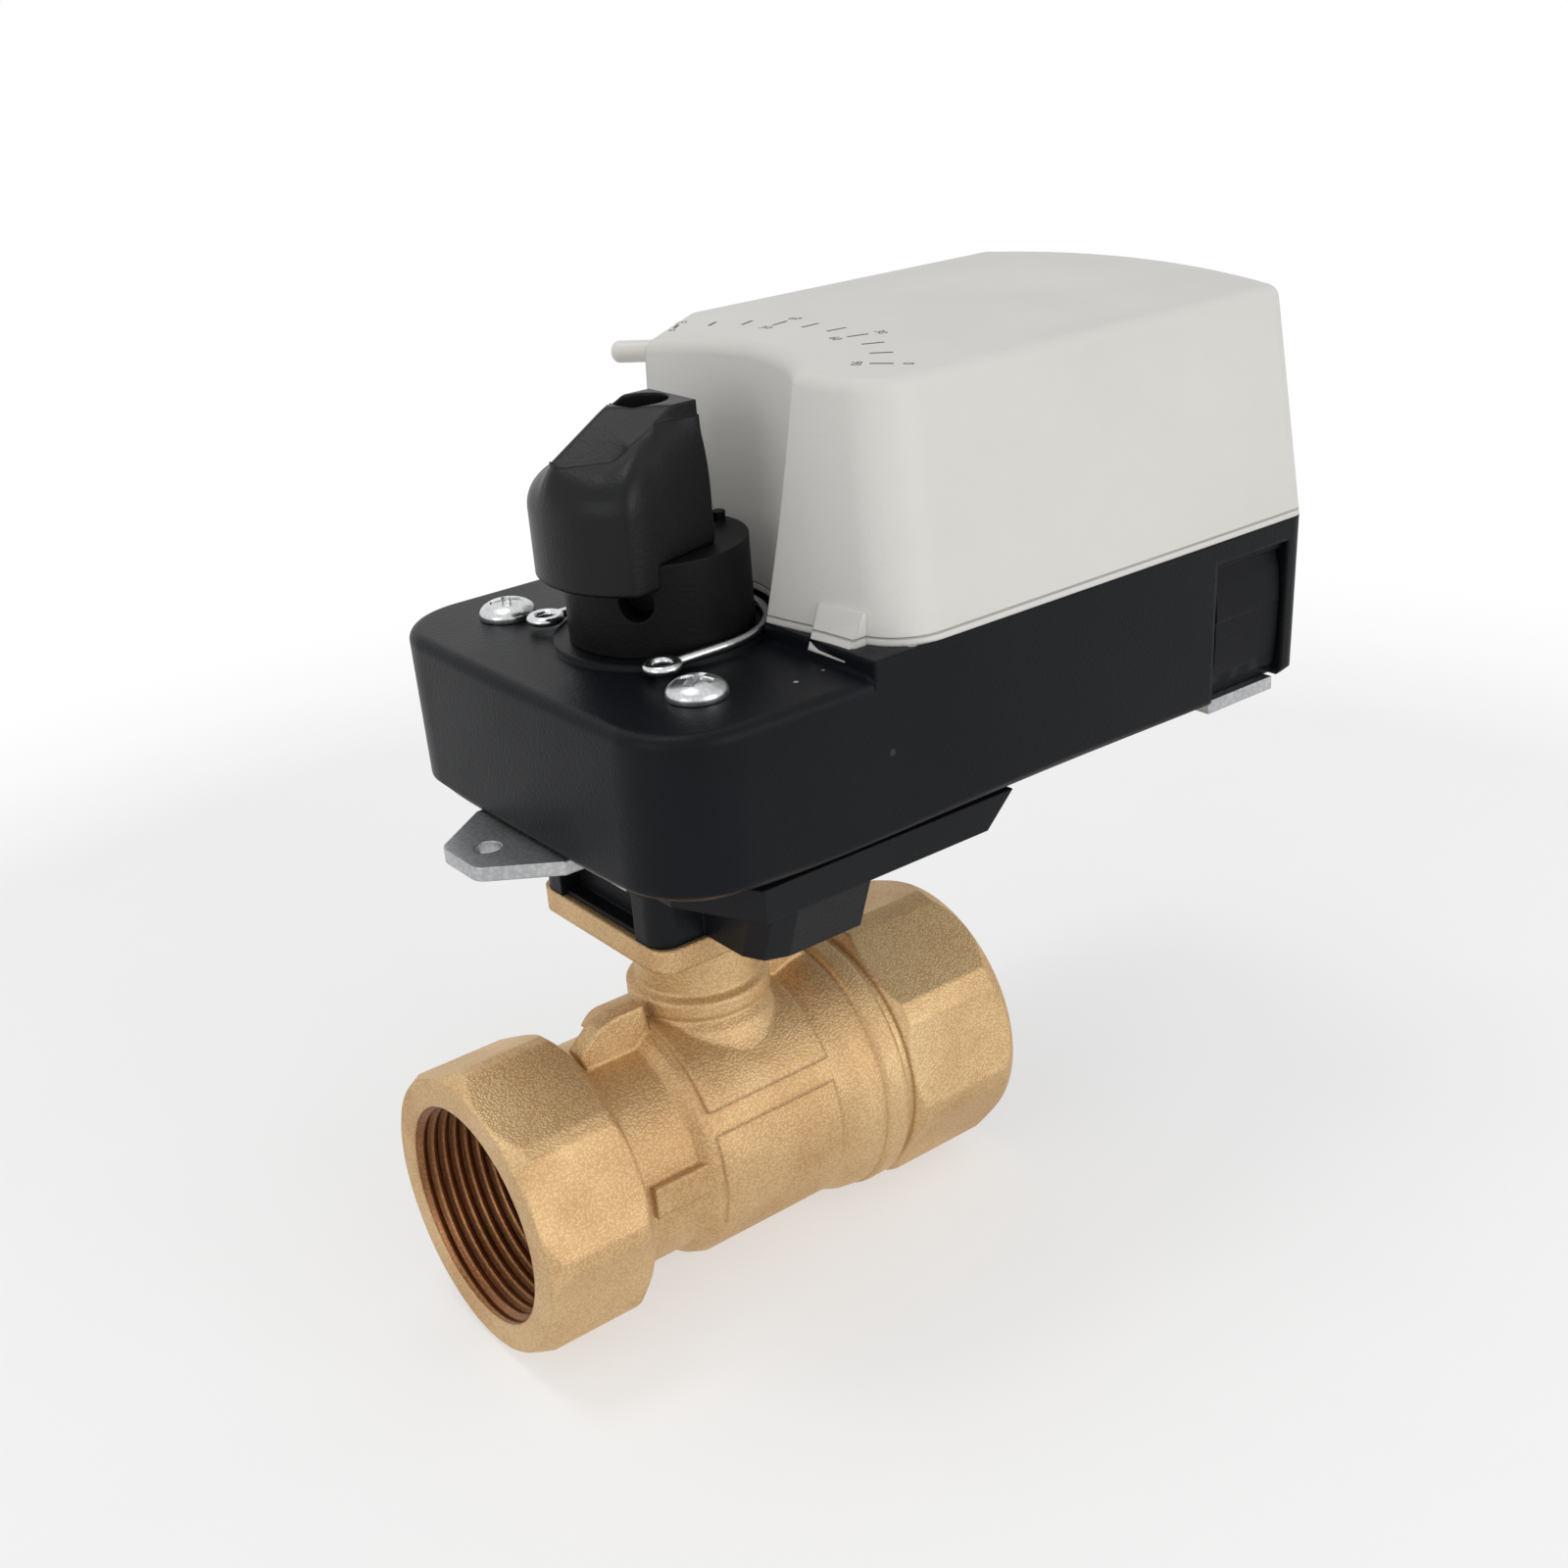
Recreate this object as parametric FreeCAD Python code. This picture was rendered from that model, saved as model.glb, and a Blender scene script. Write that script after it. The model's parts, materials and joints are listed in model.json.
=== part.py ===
import FreeCAD, Part
import math
import os

# Motorized ball valve: a DN25 brass ball valve with female G1 ports and a rotary actuator on its stem.
# Millimetres. The pieces are drawn about the point where the stem axis crosses the flow axis:
# +X runs with the flow towards the outlet, +Z runs up the stem, +Y is to the left of the flow.
# The last step moves every piece so that the origin is the centre of the inlet port's face.

Vec = FreeCAD.Vector

# Ports and wrench ends
inlet_reach = 42.0            # stem axis to the inlet face
outlet_reach = 44.0           # stem axis to the outlet face
port_r = 16.62                # G1 thread, major radius
port_depth = 15.0             # length of full thread
inlet_flats = 41.5            # octagons, across flats
outlet_flats = 41.8
inlet_turned_r = 22.0         # the octagons' corners are turned to these radii
outlet_turned_r = 22.0
port_chamfer = (2.2, 1.2)     # length and drop of the long chamfer round each port
inner_chamfer = (1.3, 1.3)    # and of the short one at the octagon's other face
inlet_wrench_len = 17.2
inlet_wrench_turn = -3.0      # degrees from +Y to a corner
outlet_wrench_turn = 10.0     # the screwed-in end stops where its thread is tight

# Ball, seats and cavity
ball_r = 16.4
ball_bore_r = 10.0
ball_angle = -45.0            # degrees from the flow to the ball's bore at rest: half open
passage_r = 10.5
seat_gap = 0.2                # ball to seat face
cavity_gap = 0.5              # ball to cavity wall
seat_outer_r = 14.9
seat_width = 4.0
seat_back_x = 14.2            # from the stem axis to the back of each seat
pocket_gap = 0.1

# Walls of the cast body
barrel_wall = 2.6
waist_wall = 2.4
joint_wall = 3.0
barrel_half = 12.6            # half length of the barrel round the ball
flare = ((11.5, 0.0), (14.5, 1.1), (16.5, 1.4), (17.6, 1.4), (18.0, 1.1))
joint_face_x = 22.2           # where the end connector shoulders on the body
joint_ring_len = 3.8
male_depth = 8.6              # length of the connector's threaded nose
male_step = 1.5               # its radius over the cavity's
gasket_width = 1.2
shoulder_len = 1.4            # groove left between the body's ring and the wrench end
shoulder_r = 20.2

# Neck and mounting flange
stem_r = 5.0
stem_fit = 0.05
stem_collar_r = 7.0
stem_collar_len = 1.8
washer_len = 0.8
neck_wall = 2.6
ring_proud = 0.9
neck_foot = ((14.8, 14.0), (13.3, 15.4), (12.1, 17.0), (11.1, 18.8))   # radius and height up its fillet
neck_ring_z = 20.2
neck_ring_len = 3.8
neck_top_r = 9.3
flange_top = 38.0
flange_len = 3.6
flange_side = 32.0
flange_corner = 3.0
tang_width = 4.6
tang_depth = 3.0
tang_gap = 0.2
stem_flats = 8.0              # across the two flats at the top of the stem
stem_flat_z = 41.0
stem_top = 62.0
seal_zs = (24.5, 29.5)
seal_r = 0.72                 # half the cord of a stem O-ring

# Cast lugs and panels on the body
lug_ys = (-3.4, -0.4)          # faces of the upright lugs beside the neck
inlet_lug = ((-21.0, 14.0), (-23.5, 19.4), (-22.0, 20.9), (-19.7, 22.8), (-16.9, 23.5), (-12.2, 23.5),
             (-11.5, 19.0), (-11.5, 14.0))
outlet_lug = ((9.0, 15.0), (9.0, 22.6), (16.5, 22.6), (17.6, 20.0), (17.6, 15.0))
saddle_x = (-11.4, 10.3)
saddle_z = 11.1
saddle_proud = 0.9
panel_x = (-11.3, 10.2)
panel_zs = (-7.0, 7.7)
panel_proud = 0.35
waist_pad_x = (-22.5, -13.0)
waist_pad_zs = (-0.7, 4.2)
waist_pad_proud = 1.0

# Adapter between flange and actuator
adapter_top = 51.8
foot_x = 15.8
foot_half = 15.3
window_half = 9.6             # opening in the adapter's front, above the flange
window_x = -8.4
bar_x = (-8.0, 10.0)
bar_half = 28.4
bar_flare = 3.6
deck_plate_z = 47.0
deck_plate_x = (-16.0, 34.0)
deck_plate_lean = 5.0         # how far its rear face leans in down to its underside
deck_plate_half = 33.0
adapter_bore_r = 10.5
plate_screw_r = 1.5
plate_screw_len = 4.5         # of each screw from the base plate into the adapter
pin_r = 2.0
pin_pitch = 22.0

# Actuator housing
base_len = 2.0                # thickness of the zinc-plated base plate
front_x = -25.6
rear_x = 95.3                 # middle of the bowed rear wall
rear_bow = 3.8
front_bow = 0.8
half_width = 36.5             # at the seam
draft = 0.9                   # what each side draws in down to the bottom edge
seam_z = 79.0
deck_z = 76.5
wall = 2.2
front_corner = 12.0
rear_corner = 2.6
ledge_x = (7.6, 14.2)         # raised step that the cover's front wall stands on
well_r = 15.4                 # round well in that step for the hub's collar
disc_proud = 0.8
floor_open_x = (-13.0, 80.0)
floor_open_inset = 11.5       # from the housing's side to the opening in its floor
screw_x = -11.0
screw_half = 23.5
screw_r = 2.0
screw_head_r = 4.1
screw_head_len = 2.6
screw_gap = 0.1
post_r = 4.2
plate_post_r = 3.4
deck_round = 1.6
bottom_chamfer = 1.0

# Clips at the rear corners
clip_x = (72.4, 88.2)
clip_z = (55.6, 75.6)
clip_recess = 2.4
clip_gap = 0.3
clip_ribs = 5

# Base plate tongue
tongue_len = 9.6
tongue_root = 11.6
tongue_nose = 4.6
tongue_y = 1.4
tongue_hole_r = 1.9
tongue_hole_inset = 4.6
plate_half = 30.6
plate_rear_x = 88.0

# Cover
cover_top = 112.2
cover_crown = 1.0
cover_top_half = 31.2
cover_front = 7.0
cover_front_top = 9.8
cover_front_bow = 6.0
cover_corner = 8.0
cover_round = 2.2
notch_top_r = 29.0            # scoop round the knob: its radius and centre at the top
notch_top_x = -11.0
notch_r = 15.6                # and its radius at the seam, on the stem axis
recess_from = (11.5, 16.0)    # line across the cover's left front corner, in plan
recess_to = (27.5, 29.5)
recess_z = 97.0               # the corner is cut off above this height
tab_start_y = 23.0            # latch tabs at the foot of the front wall
tab_run = (1.25, 7.5)         # each follows the bowed wall by this much
tab_zs = (77.5, 83.3)
tab_front_x = (7.35, 9.5)     # its front face leans out towards the foot
tab_back_x = 10.7
tab_gap = 0.3

# Hub, knob and screw
hub_r = 9.5
hub_fit = 0.05
hub_bottom = 46.0
collar_r = 12.9
collar_lift = 0.1
collar_top = 90.0
collar_hole_r = 2.4
collar_hole_z = 84.9
collar_hole_angle = -137.0
pointer_r = 1.0
pointer_x = 10.9
knob_skirt_gap = 0.35
knob_bottom = 84.6
knob_top = 109.0
knob_top_x = (-6.5, 4.5)
knob_top_y = (-6.4, 4.5)
# Outlines where the shoulder starts and ends: nose, end of its tip along and across, bulge of the nose's
# sides, front corner along and across, half width at the rear
knob_foot = (-16.3, -15.4, 5.2, 1.1, -10.2, 12.3, 8.2)
knob_head = (-14.6, -13.9, 1.5, 0.3, -9.0, 6.0, 7.0)
knob_shoulder = (94.5, 102.1)           # heights between which the nose rounds over
knob_rear_rise = (97.0, 104.6)          # and the same at the rear
knob_shoulder_turn = 48.0               # degrees that the shoulder turns
knob_head_top = 107.1                   # top of the sides under the block
knob_facet_turn = 42.5                  # degrees between the nose and the way each facet falls
knob_facet_start = 3.7                  # from the axis to a facet's upper line
knob_facet_fall = 0.79                  # drop over run
knob_ridge_y = 0.5                      # line on which the two facets meet
knob_shoulder_steps = 6
knob_head_out = 0.12                    # the head stands this far outside the shoulder's upper end
knob_rear_spare = 1.0                   # cut away to leave one flat rear
knob_hole_r = 3.9
knob_hole_floor = 92.0
knob_screw_r = 2.0
knob_head_r = 3.5
knob_head_len = 3.5
knob_screw_len = 38.0
bush_r = 11.6
bush_len = 3.4

# Gear train: teeth, modules, pressure angle
sector_teeth = 44
first_pinion_teeth = 12
first_wheel_teeth = 40
second_pinion_teeth = 10
second_wheel_teeth = 36
motor_teeth = 10
module_out = 1.0
module_mid = 0.8
module_fast = 0.6
pressure_angle = 25.0
addendum = 0.9                # in modules
dedendum = 1.15
backlash = 0.14
sector_half_angle = 58.0
train_bend = -30.0            # degrees, from the first gear to the second
sector_z = (57.4, 63.0)
mid_mesh_z = (64.2, 67.0)
fast_mesh_z = (70.4, 73.0)
pinion_proud = 0.3            # a pinion is this much longer than its wheel at each side
arbor_r = 1.5
arbor_fit = 0.05
gear_hub_r = 3.2
end_play = 0.3
gear_plate_len = 1.5
gear_plate_z = 75.0

# Motor, board and switches
motor_r = 18.0
motor_len = 20.0
motor_boss_r = 4.0
motor_ear_half = 24.5
motor_ear_len = 1.2
shaft_r = 1.2
shaft_inside = 8.0            # length of the shaft inside the motor
board_gap = 2.5               # motor to board
board_len = 1.6
board_x = (25.0, 87.0)
board_inset = 12.5            # from the housing's side to the board
spacer_r = 2.6
terminal_x = (75.0, 85.0)
terminal_inset = 7.0          # from the board's side to the terminals
terminal_len = 8.2
terminal_ways = 5
cam_z = (69.0, 71.6)
cam_r = 11.4
cam_lobe_r = 12.3
switch_size = (12.8, 6.0, 6.4)
switch_x = 18.6
switch_y = 17.0

# Gear release button and cable grommets
release_r = 1.6
release_shank_r = 1.2
release_share = 0.6           # where it leaves the cut corner, as a share of the cut line
release_z = 108.9
release_proud = 8.4
release_inside = 9.0          # length from the cut corner to its inner end
release_head = 4.6            # length behind the cut corner that keeps the full radius
release_paddle = 2.2          # half width of the flat inside the cover
release_travel = 2.5
release_fit = 0.15
grommet_y = 15.0
grommet_z = 66.0
grommet_r = 5.5

# Sizes worked out from those above
cavity_r = ball_r + cavity_gap
pocket_r = seat_outer_r + pocket_gap
barrel_r = cavity_r + barrel_wall
waist_r = pocket_r + waist_wall
male_r = cavity_r + male_step
joint_r = male_r + joint_wall
neck_r = stem_collar_r + tang_gap + neck_wall
collar_seat_z = cavity_r
neck_shoulder_z = collar_seat_z + stem_collar_len + washer_len
base_top = adapter_top + base_len
housing_floor = base_top + wall
deck_under = deck_z - wall
collar_z = deck_z + disc_proud + collar_lift
motor_z = gear_plate_z + gear_plate_len
board_z = motor_z + motor_len + board_gap
board_half = half_width - board_inset
terminal_half = board_half - terminal_inset
floor_half = half_width - floor_open_inset


def rod(r, z0, z1, x=0.0, y=0.0):
    """Upright cylinder between two heights."""
    return Part.makeCylinder(r, z1 - z0, Vec(x, y, z0))


def rod_along(direction, r, start, length):
    """Cylinder from a start point along a direction."""
    return Part.makeCylinder(r, length, Vec(*start), Vec(*direction))


def block(xs, ys, zs):
    """Box between pairs of coordinates."""
    return Part.makeBox(xs[1] - xs[0], ys[1] - ys[0], zs[1] - zs[0], Vec(xs[0], ys[0], zs[0]))


def turned_x(profile):
    """Solid of revolution about the flow axis from (x, radius) points."""
    points = [Vec(x, 0, r) for x, r in profile]
    face = Part.Face(Part.makePolygon(points + points[:1]))
    return face.revolve(Vec(0, 0, 0), Vec(1, 0, 0), 360)


def turned_z(profile, x=0.0, y=0.0):
    """Solid of revolution about an upright axis from (radius, z) points."""
    points = [Vec(x + r, y, z) for r, z in profile]
    face = Part.Face(Part.makePolygon(points + points[:1]))
    return face.revolve(Vec(x, y, 0), Vec(0, 0, 1), 360)


def prism(points, z0, z1):
    """Upright prism on an outline of (x, y) points."""
    corners = [Vec(x, y, z0) for x, y in points]
    return Part.Face(Part.makePolygon(corners + corners[:1])).extrude(Vec(0, 0, z1 - z0))


def mirrored(shape):
    """The same piece on the other side of the middle plane."""
    return shape.mirror(Vec(0, 0, 0), Vec(0, 1, 0))


def both_sides(shape):
    """A piece and its mirror image, as one group."""
    return Part.makeCompound([shape, mirrored(shape)])


def upright_edges(shape, reach=0.9):
    """Edges that run mostly along Z."""
    found = []
    for edge in shape.Edges:
        first, last = edge.Vertexes[0].Point, edge.Vertexes[-1].Point
        run = last - first
        if run.Length > 0.5 and abs(run.z) > reach * run.Length:
            found.append(edge)
    return found


def edges_at_height(shape, z, slack=0.01):
    """Edges that lie at one height."""
    return [e for e in shape.Edges if abs(e.BoundBox.ZMin - z) < slack and abs(e.BoundBox.ZMax - z) < slack]


def bowed_outline(z, half, front, rear, front_bow_by, rear_bow_by, front_r, rear_r):
    """Outline with straight sides, bowed ends and round corners.

    Each end is an arc through its middle point, and each corner arc touches the side and the end.
    """
    def end_arc(middle, bow, corner, sign):
        radius = (half ** 2 + bow ** 2) / (2 * bow)
        centre_x = middle - sign * radius
        inner = half - corner
        corner_x = centre_x + sign * math.sqrt((radius - corner) ** 2 - inner ** 2)
        scale = radius / (radius - corner)
        touch = Vec(centre_x + (corner_x - centre_x) * scale, inner * scale, z)
        lean = math.atan2(inner, sign * (corner_x - centre_x))
        mid_angle = (lean + math.pi / 2) / 2
        mid = Vec(corner_x + sign * corner * math.cos(mid_angle), inner + corner * math.sin(mid_angle), z)
        return touch, mid, Vec(corner_x, half, z), Vec(middle, 0, z)

    rear_touch, rear_mid, rear_side, rear_end = end_arc(rear, rear_bow_by, rear_r, 1)
    front_touch, front_mid, front_side, front_end = end_arc(front, front_bow_by, front_r, -1)

    def flip(point):
        return Vec(point.x, -point.y, point.z)

    edges = [
        Part.LineSegment(front_side, rear_side),
        Part.Arc(rear_side, rear_mid, rear_touch),
        Part.Arc(rear_touch, rear_end, flip(rear_touch)),
        Part.Arc(flip(rear_touch), flip(rear_mid), flip(rear_side)),
        Part.LineSegment(flip(rear_side), flip(front_side)),
        Part.Arc(flip(front_side), flip(front_mid), flip(front_touch)),
        Part.Arc(flip(front_touch), front_end, front_touch),
        Part.Arc(front_touch, front_mid, front_side),
    ]
    return Part.Wire([edge.toShape() for edge in edges])


def housing_block(inset, z0, z1):
    """The housing's outer form drawn in by inset, between two heights."""
    def outline(z):
        lean = draft * (seam_z - z) / (seam_z - base_top)
        return bowed_outline(z, half_width - lean - inset, front_x + inset, rear_x - inset,
                             front_bow, rear_bow, front_corner - inset, rear_corner - inset)
    return Part.makeLoft([outline(z0), outline(z1)], True, True)


def cover_block(inset, z0, z1):
    """The cover's outer form drawn in by inset, between two heights, under its crowned top."""
    def outline(z):
        share = (z - seam_z) / (cover_top - seam_z)
        half = half_width + (cover_top_half - half_width) * share
        front = cover_front + (cover_front_top - cover_front) * share
        return bowed_outline(z, half - inset, front + inset, rear_x - inset,
                             cover_front_bow, rear_bow, cover_corner - inset, rear_corner - inset)
    body = Part.makeLoft([outline(z0), outline(z1)], True, True)
    crown_r = (cover_top_half ** 2 + cover_crown ** 2) / (2 * cover_crown)
    crown_z = cover_top + cover_crown - crown_r - inset
    crown = rod_along((1, 0, 0), crown_r, (front_x, 0, crown_z), 2 * rear_x)
    return body.common(crown)


def notch_cone(grow, z0, z1):
    """Leaning cone that the scoop in the cover's front is cut with."""
    def circle(z):
        share = (z - seam_z) / (cover_top - seam_z)
        centre = Vec(notch_top_x * share, 0, z)
        radius = notch_r + (notch_top_r - notch_r) * share + grow
        return Part.Wire([Part.Circle(centre, Vec(0, 0, 1), radius).toShape()])
    return Part.makeLoft([circle(z0), circle(z1)], True, True)


def octagon_end(port_x, inner_x, flats, turned_r, turn):
    """Wrench end: an octagon whose corners are turned round, with a long chamfer round the port."""
    corner_r = flats / 2 / math.cos(math.pi / 8)
    points = []
    for i in range(8):
        a = math.radians(turn + 45 * i)
        points.append(Vec(port_x, corner_r * math.cos(a), corner_r * math.sin(a)))
    eight = Part.Face(Part.makePolygon(points + points[:1])).extrude(Vec(inner_x - port_x, 0, 0))
    inward = 1 if inner_x > port_x else -1
    long_len, long_drop = port_chamfer
    short_len, short_drop = inner_chamfer
    turned = turned_x([
        (port_x, 0), (port_x, turned_r - long_drop), (port_x + inward * long_len, turned_r),
        (inner_x - inward * short_len, turned_r), (inner_x, turned_r - short_drop), (inner_x, 0)])
    return eight.common(turned)


def port_hole(face_x, inward):
    """Threaded hole at its major radius, with the cone at its root, as a cutter."""
    root_r = port_r - 1.6
    depth = port_depth
    profile = [(face_x, 0), (face_x, port_r), (face_x + inward * depth, port_r),
               (face_x + inward * depth, root_r),
               (face_x + inward * (depth + root_r - passage_r), passage_r),
               (face_x + inward * (depth + root_r - passage_r), 0)]
    return turned_x(profile)


def make_valve_body():
    """Casting: inlet wrench end, waist, barrel round the ball, joint ring, neck and flange."""
    wrench_end = -inlet_reach + inlet_wrench_len
    ring_start = joint_face_x - joint_ring_len
    profile = [(wrench_end - 1, 0), (wrench_end - 1, waist_r + 0.8), (wrench_end, waist_r + 0.8),
               (wrench_end + 0.8, waist_r), (-barrel_half - 1.6, waist_r), (-barrel_half, barrel_r - 0.6),
               (-barrel_half + 1.6, barrel_r)]
    profile += [(x, barrel_r + rise) for x, rise in flare]
    profile += [(ring_start, joint_r - 0.2), (ring_start + 0.3, joint_r), (joint_face_x - 0.6, joint_r),
                (joint_face_x, joint_r - 0.6), (joint_face_x, 0)]
    outside = turned_x(profile)
    body = octagon_end(-inlet_reach, wrench_end, inlet_flats, inlet_turned_r, inlet_wrench_turn)
    body = body.fuse(outside)
    body = body.fuse(make_neck())
    body = body.fuse(make_cast_marks())
    body = body.cut(port_hole(-inlet_reach, 1))
    cavity = turned_x([
        (-inlet_reach + 1, 0), (-inlet_reach + 1, passage_r), (-seat_back_x, passage_r),
        (-seat_back_x, pocket_r), (-seat_back_x + seat_width + 0.8, pocket_r),
        (-seat_back_x + seat_width + 0.8, cavity_r), (joint_face_x - male_depth, cavity_r),
        (joint_face_x - male_depth, male_r + stem_fit), (joint_face_x - gasket_width, male_r + stem_fit),
        (joint_face_x - gasket_width, male_r + gasket_width), (joint_face_x + 1, male_r + gasket_width),
        (joint_face_x + 1, 0)])
    body = body.cut(cavity)
    body = body.cut(rod(stem_collar_r + tang_gap, 0, neck_shoulder_z))
    body = body.cut(rod(stem_r + stem_fit, 0, flange_top + 1))
    for side in (-1, 1):
        body = body.cut(rod(pin_r, flange_top - flange_len - 1, flange_top + 1, side * pin_pitch / 2,
                            side * pin_pitch / 2))
    return body.removeSplitter()


def make_neck():
    """Neck with its cast ring, and the square flange on top."""
    ring_top = neck_ring_z + neck_ring_len
    under = flange_top - flange_len
    neck = turned_z([
        (0, 10), (neck_foot[0][0], 10), *neck_foot, (neck_r, neck_ring_z),
        (neck_r + ring_proud, neck_ring_z + 0.8), (neck_r + ring_proud, ring_top - 0.8),
        (neck_top_r, ring_top), (neck_top_r, under - 2.4), (neck_top_r + 2.4, under), (0, under)])
    half = flange_side / 2
    plate = block((-half, half), (-half, half), (under, flange_top))
    plate = plate.makeFillet(flange_corner, upright_edges(plate))
    return neck.fuse(plate)


def upright_plate(points, ys):
    """Plate between two distances across, on an outline of (x, z) points."""
    corners = [Vec(x, ys[0], z) for x, z in points]
    return Part.Face(Part.makePolygon(corners + corners[:1])).extrude(Vec(0, ys[1] - ys[0], 0))


def raised_band(xs, radius, low, high):
    """Slice of a cylinder on the flow axis, between two heights."""
    band = rod_along((1, 0, 0), radius, (xs[0], 0, 0), xs[1] - xs[0])
    return band.common(block(xs, (-radius - 1, radius + 1), (low, high)))


def make_cast_marks():
    """Two lugs beside the neck, the saddle under it, and raised panels on the sides."""
    marks = upright_plate(inlet_lug, lug_ys)
    marks = marks.fuse(upright_plate(outlet_lug, lug_ys))
    marks = marks.fuse(raised_band(saddle_x, barrel_r + saddle_proud, saddle_z, barrel_r + 2))
    marks = marks.fuse(raised_band(panel_x, barrel_r + panel_proud, *panel_zs))
    return marks.fuse(block(waist_pad_x, (-waist_r - waist_pad_proud, waist_r + waist_pad_proud), waist_pad_zs))


def make_end_connector():
    """Screwed-in outlet end: threaded nose with the seat's pocket, shoulder and wrench end."""
    wrench_start = joint_face_x + shoulder_len
    nose_x = seat_back_x - seat_width + 0.8
    thread_x = joint_face_x - male_depth + 0.2
    outside = turned_x([
        (nose_x, 0), (nose_x, cavity_r - pocket_gap), (thread_x, cavity_r - pocket_gap), (thread_x, male_r),
        (joint_face_x, male_r), (joint_face_x, shoulder_r), (wrench_start + 1, shoulder_r),
        (wrench_start + 1, 0)])
    wrench_end = octagon_end(outlet_reach, wrench_start, outlet_flats, outlet_turned_r, outlet_wrench_turn)
    body = outside.fuse(wrench_end)
    body = body.cut(port_hole(outlet_reach, -1))
    body = body.cut(turned_x([
        (nose_x - 1, 0), (nose_x - 1, pocket_r), (seat_back_x, pocket_r), (seat_back_x, passage_r),
        (outlet_reach - 1, passage_r), (outlet_reach - 1, 0)]))
    return body.removeSplitter()


def make_seat(side):
    """PTFE seat ring: a rectangle turned about the flow axis, hollowed to the ball's curve."""
    back = side * seat_back_x
    face = side * (seat_back_x - seat_width)
    ring = turned_x([(back, passage_r), (back, seat_outer_r), (face, seat_outer_r), (face, passage_r)])
    return ring.cut(Part.makeSphere(ball_r + seat_gap))


def make_gasket():
    """Flat ring squeezed between the body's mouth and the connector's shoulder."""
    x0 = joint_face_x - gasket_width
    inner = male_r + stem_fit
    outer = male_r + gasket_width - stem_fit
    return turned_x([(x0, inner), (x0, outer), (joint_face_x, outer), (joint_face_x, inner)])


def make_ball():
    """Drilled ball with the slot for the stem's tang across its top."""
    ball = Part.makeSphere(ball_r)
    bore = rod_along((1, 0, 0), ball_bore_r, (-ball_r - 1, 0, 0), 2 * ball_r + 2)
    half = tang_width / 2 + tang_gap
    slot = block((-half, half), (-ball_r, ball_r), (cavity_r - cavity_gap - tang_depth - tang_gap, ball_r + 1))
    ball = ball.cut(bore).cut(slot)
    ball.rotate(Vec(0, 0, 0), Vec(0, 0, 1), ball_angle)
    return ball


def make_stem():
    """Stem: tang, retaining collar, sealed shank with two grooves, and flats at the top."""
    tang_z = ball_r - tang_depth
    tang = block((-tang_width / 2, tang_width / 2), (-stem_collar_r + 0.6, stem_collar_r - 0.6),
                 (tang_z, collar_seat_z + 0.5))
    tang = tang.common(rod(stem_collar_r, tang_z, collar_seat_z + 1))
    tang.rotate(Vec(0, 0, 0), Vec(0, 0, 1), ball_angle)
    profile = [(0, collar_seat_z), (stem_collar_r, collar_seat_z),
               (stem_collar_r, collar_seat_z + stem_collar_len), (stem_r, collar_seat_z + stem_collar_len)]
    groove_r = stem_r - 2 * seal_r - 0.02
    for z in seal_zs:
        profile += [(stem_r, z - 1), (groove_r, z - 1), (groove_r, z + 1), (stem_r, z + 1)]
    profile += [(stem_r, stem_top - 1), (stem_r - 1, stem_top), (0, stem_top)]
    stem = turned_z(profile).fuse(tang)
    half = stem_flats / 2
    for side in (-1, 1):
        ys = sorted((side * half, side * (stem_r + 1)))
        stem = stem.cut(block((-stem_r - 1, stem_r + 1), ys, (stem_flat_z, stem_top + 1)))
    screw_hole = rod(knob_screw_r + screw_gap, knob_hole_floor - knob_screw_len - 2, stem_top + 1)
    return stem.cut(screw_hole).removeSplitter()


def make_stem_seals():
    """Two O-rings in the stem's grooves."""
    rings = []
    for z in seal_zs:
        rings.append(Part.makeTorus(stem_r - seal_r + 0.02, seal_r, Vec(0, 0, z)))
    return Part.makeCompound(rings)


def make_thrust_washer():
    """Low-friction washer between the stem's collar and the neck's shoulder."""
    z1 = neck_shoulder_z
    z0 = z1 - washer_len + stem_fit
    return rod(stem_collar_r, z0, z1).cut(rod(stem_r + 2 * stem_fit, z0 - 1, z1 + 1))


def make_locating_pins():
    """Two dowels in the flange that keep the actuator from turning."""
    pins = []
    for side in (-1, 1):
        at = side * pin_pitch / 2
        pins.append(rod(pin_r - 0.02, flange_top - flange_len, flange_top + 5, at, at))
    return Part.makeCompound(pins)


def make_adapter():
    """Black foot of the actuator: feet on the flange, a cross bar and the plate under the housing."""
    foot = block((-foot_x, foot_x), (-foot_half, foot_half), (flange_top, deck_plate_z + 1))
    foot = foot.makeFillet(3.2, upright_edges(foot))
    bar = make_cross_bar()
    plate = make_deck_plate()
    adapter = foot.fuse(bar).fuse(plate)
    window = block((-foot_x - 2, window_x), (-window_half, window_half), (flange_top - 1, adapter_top + 1))
    adapter = adapter.cut(window)
    adapter = adapter.cut(rod(adapter_bore_r, flange_top - 1, adapter_top + 1))
    for side in (-1, 1):
        at = side * pin_pitch / 2
        adapter = adapter.cut(rod(pin_r, flange_top - 1, flange_top + 5.5, at, at))
    for x, y in adapter_screw_places():
        adapter = adapter.cut(rod(plate_screw_r + 0.05, adapter_top - plate_screw_len, adapter_top + 1, x, y))
    return adapter.removeSplitter()


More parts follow.
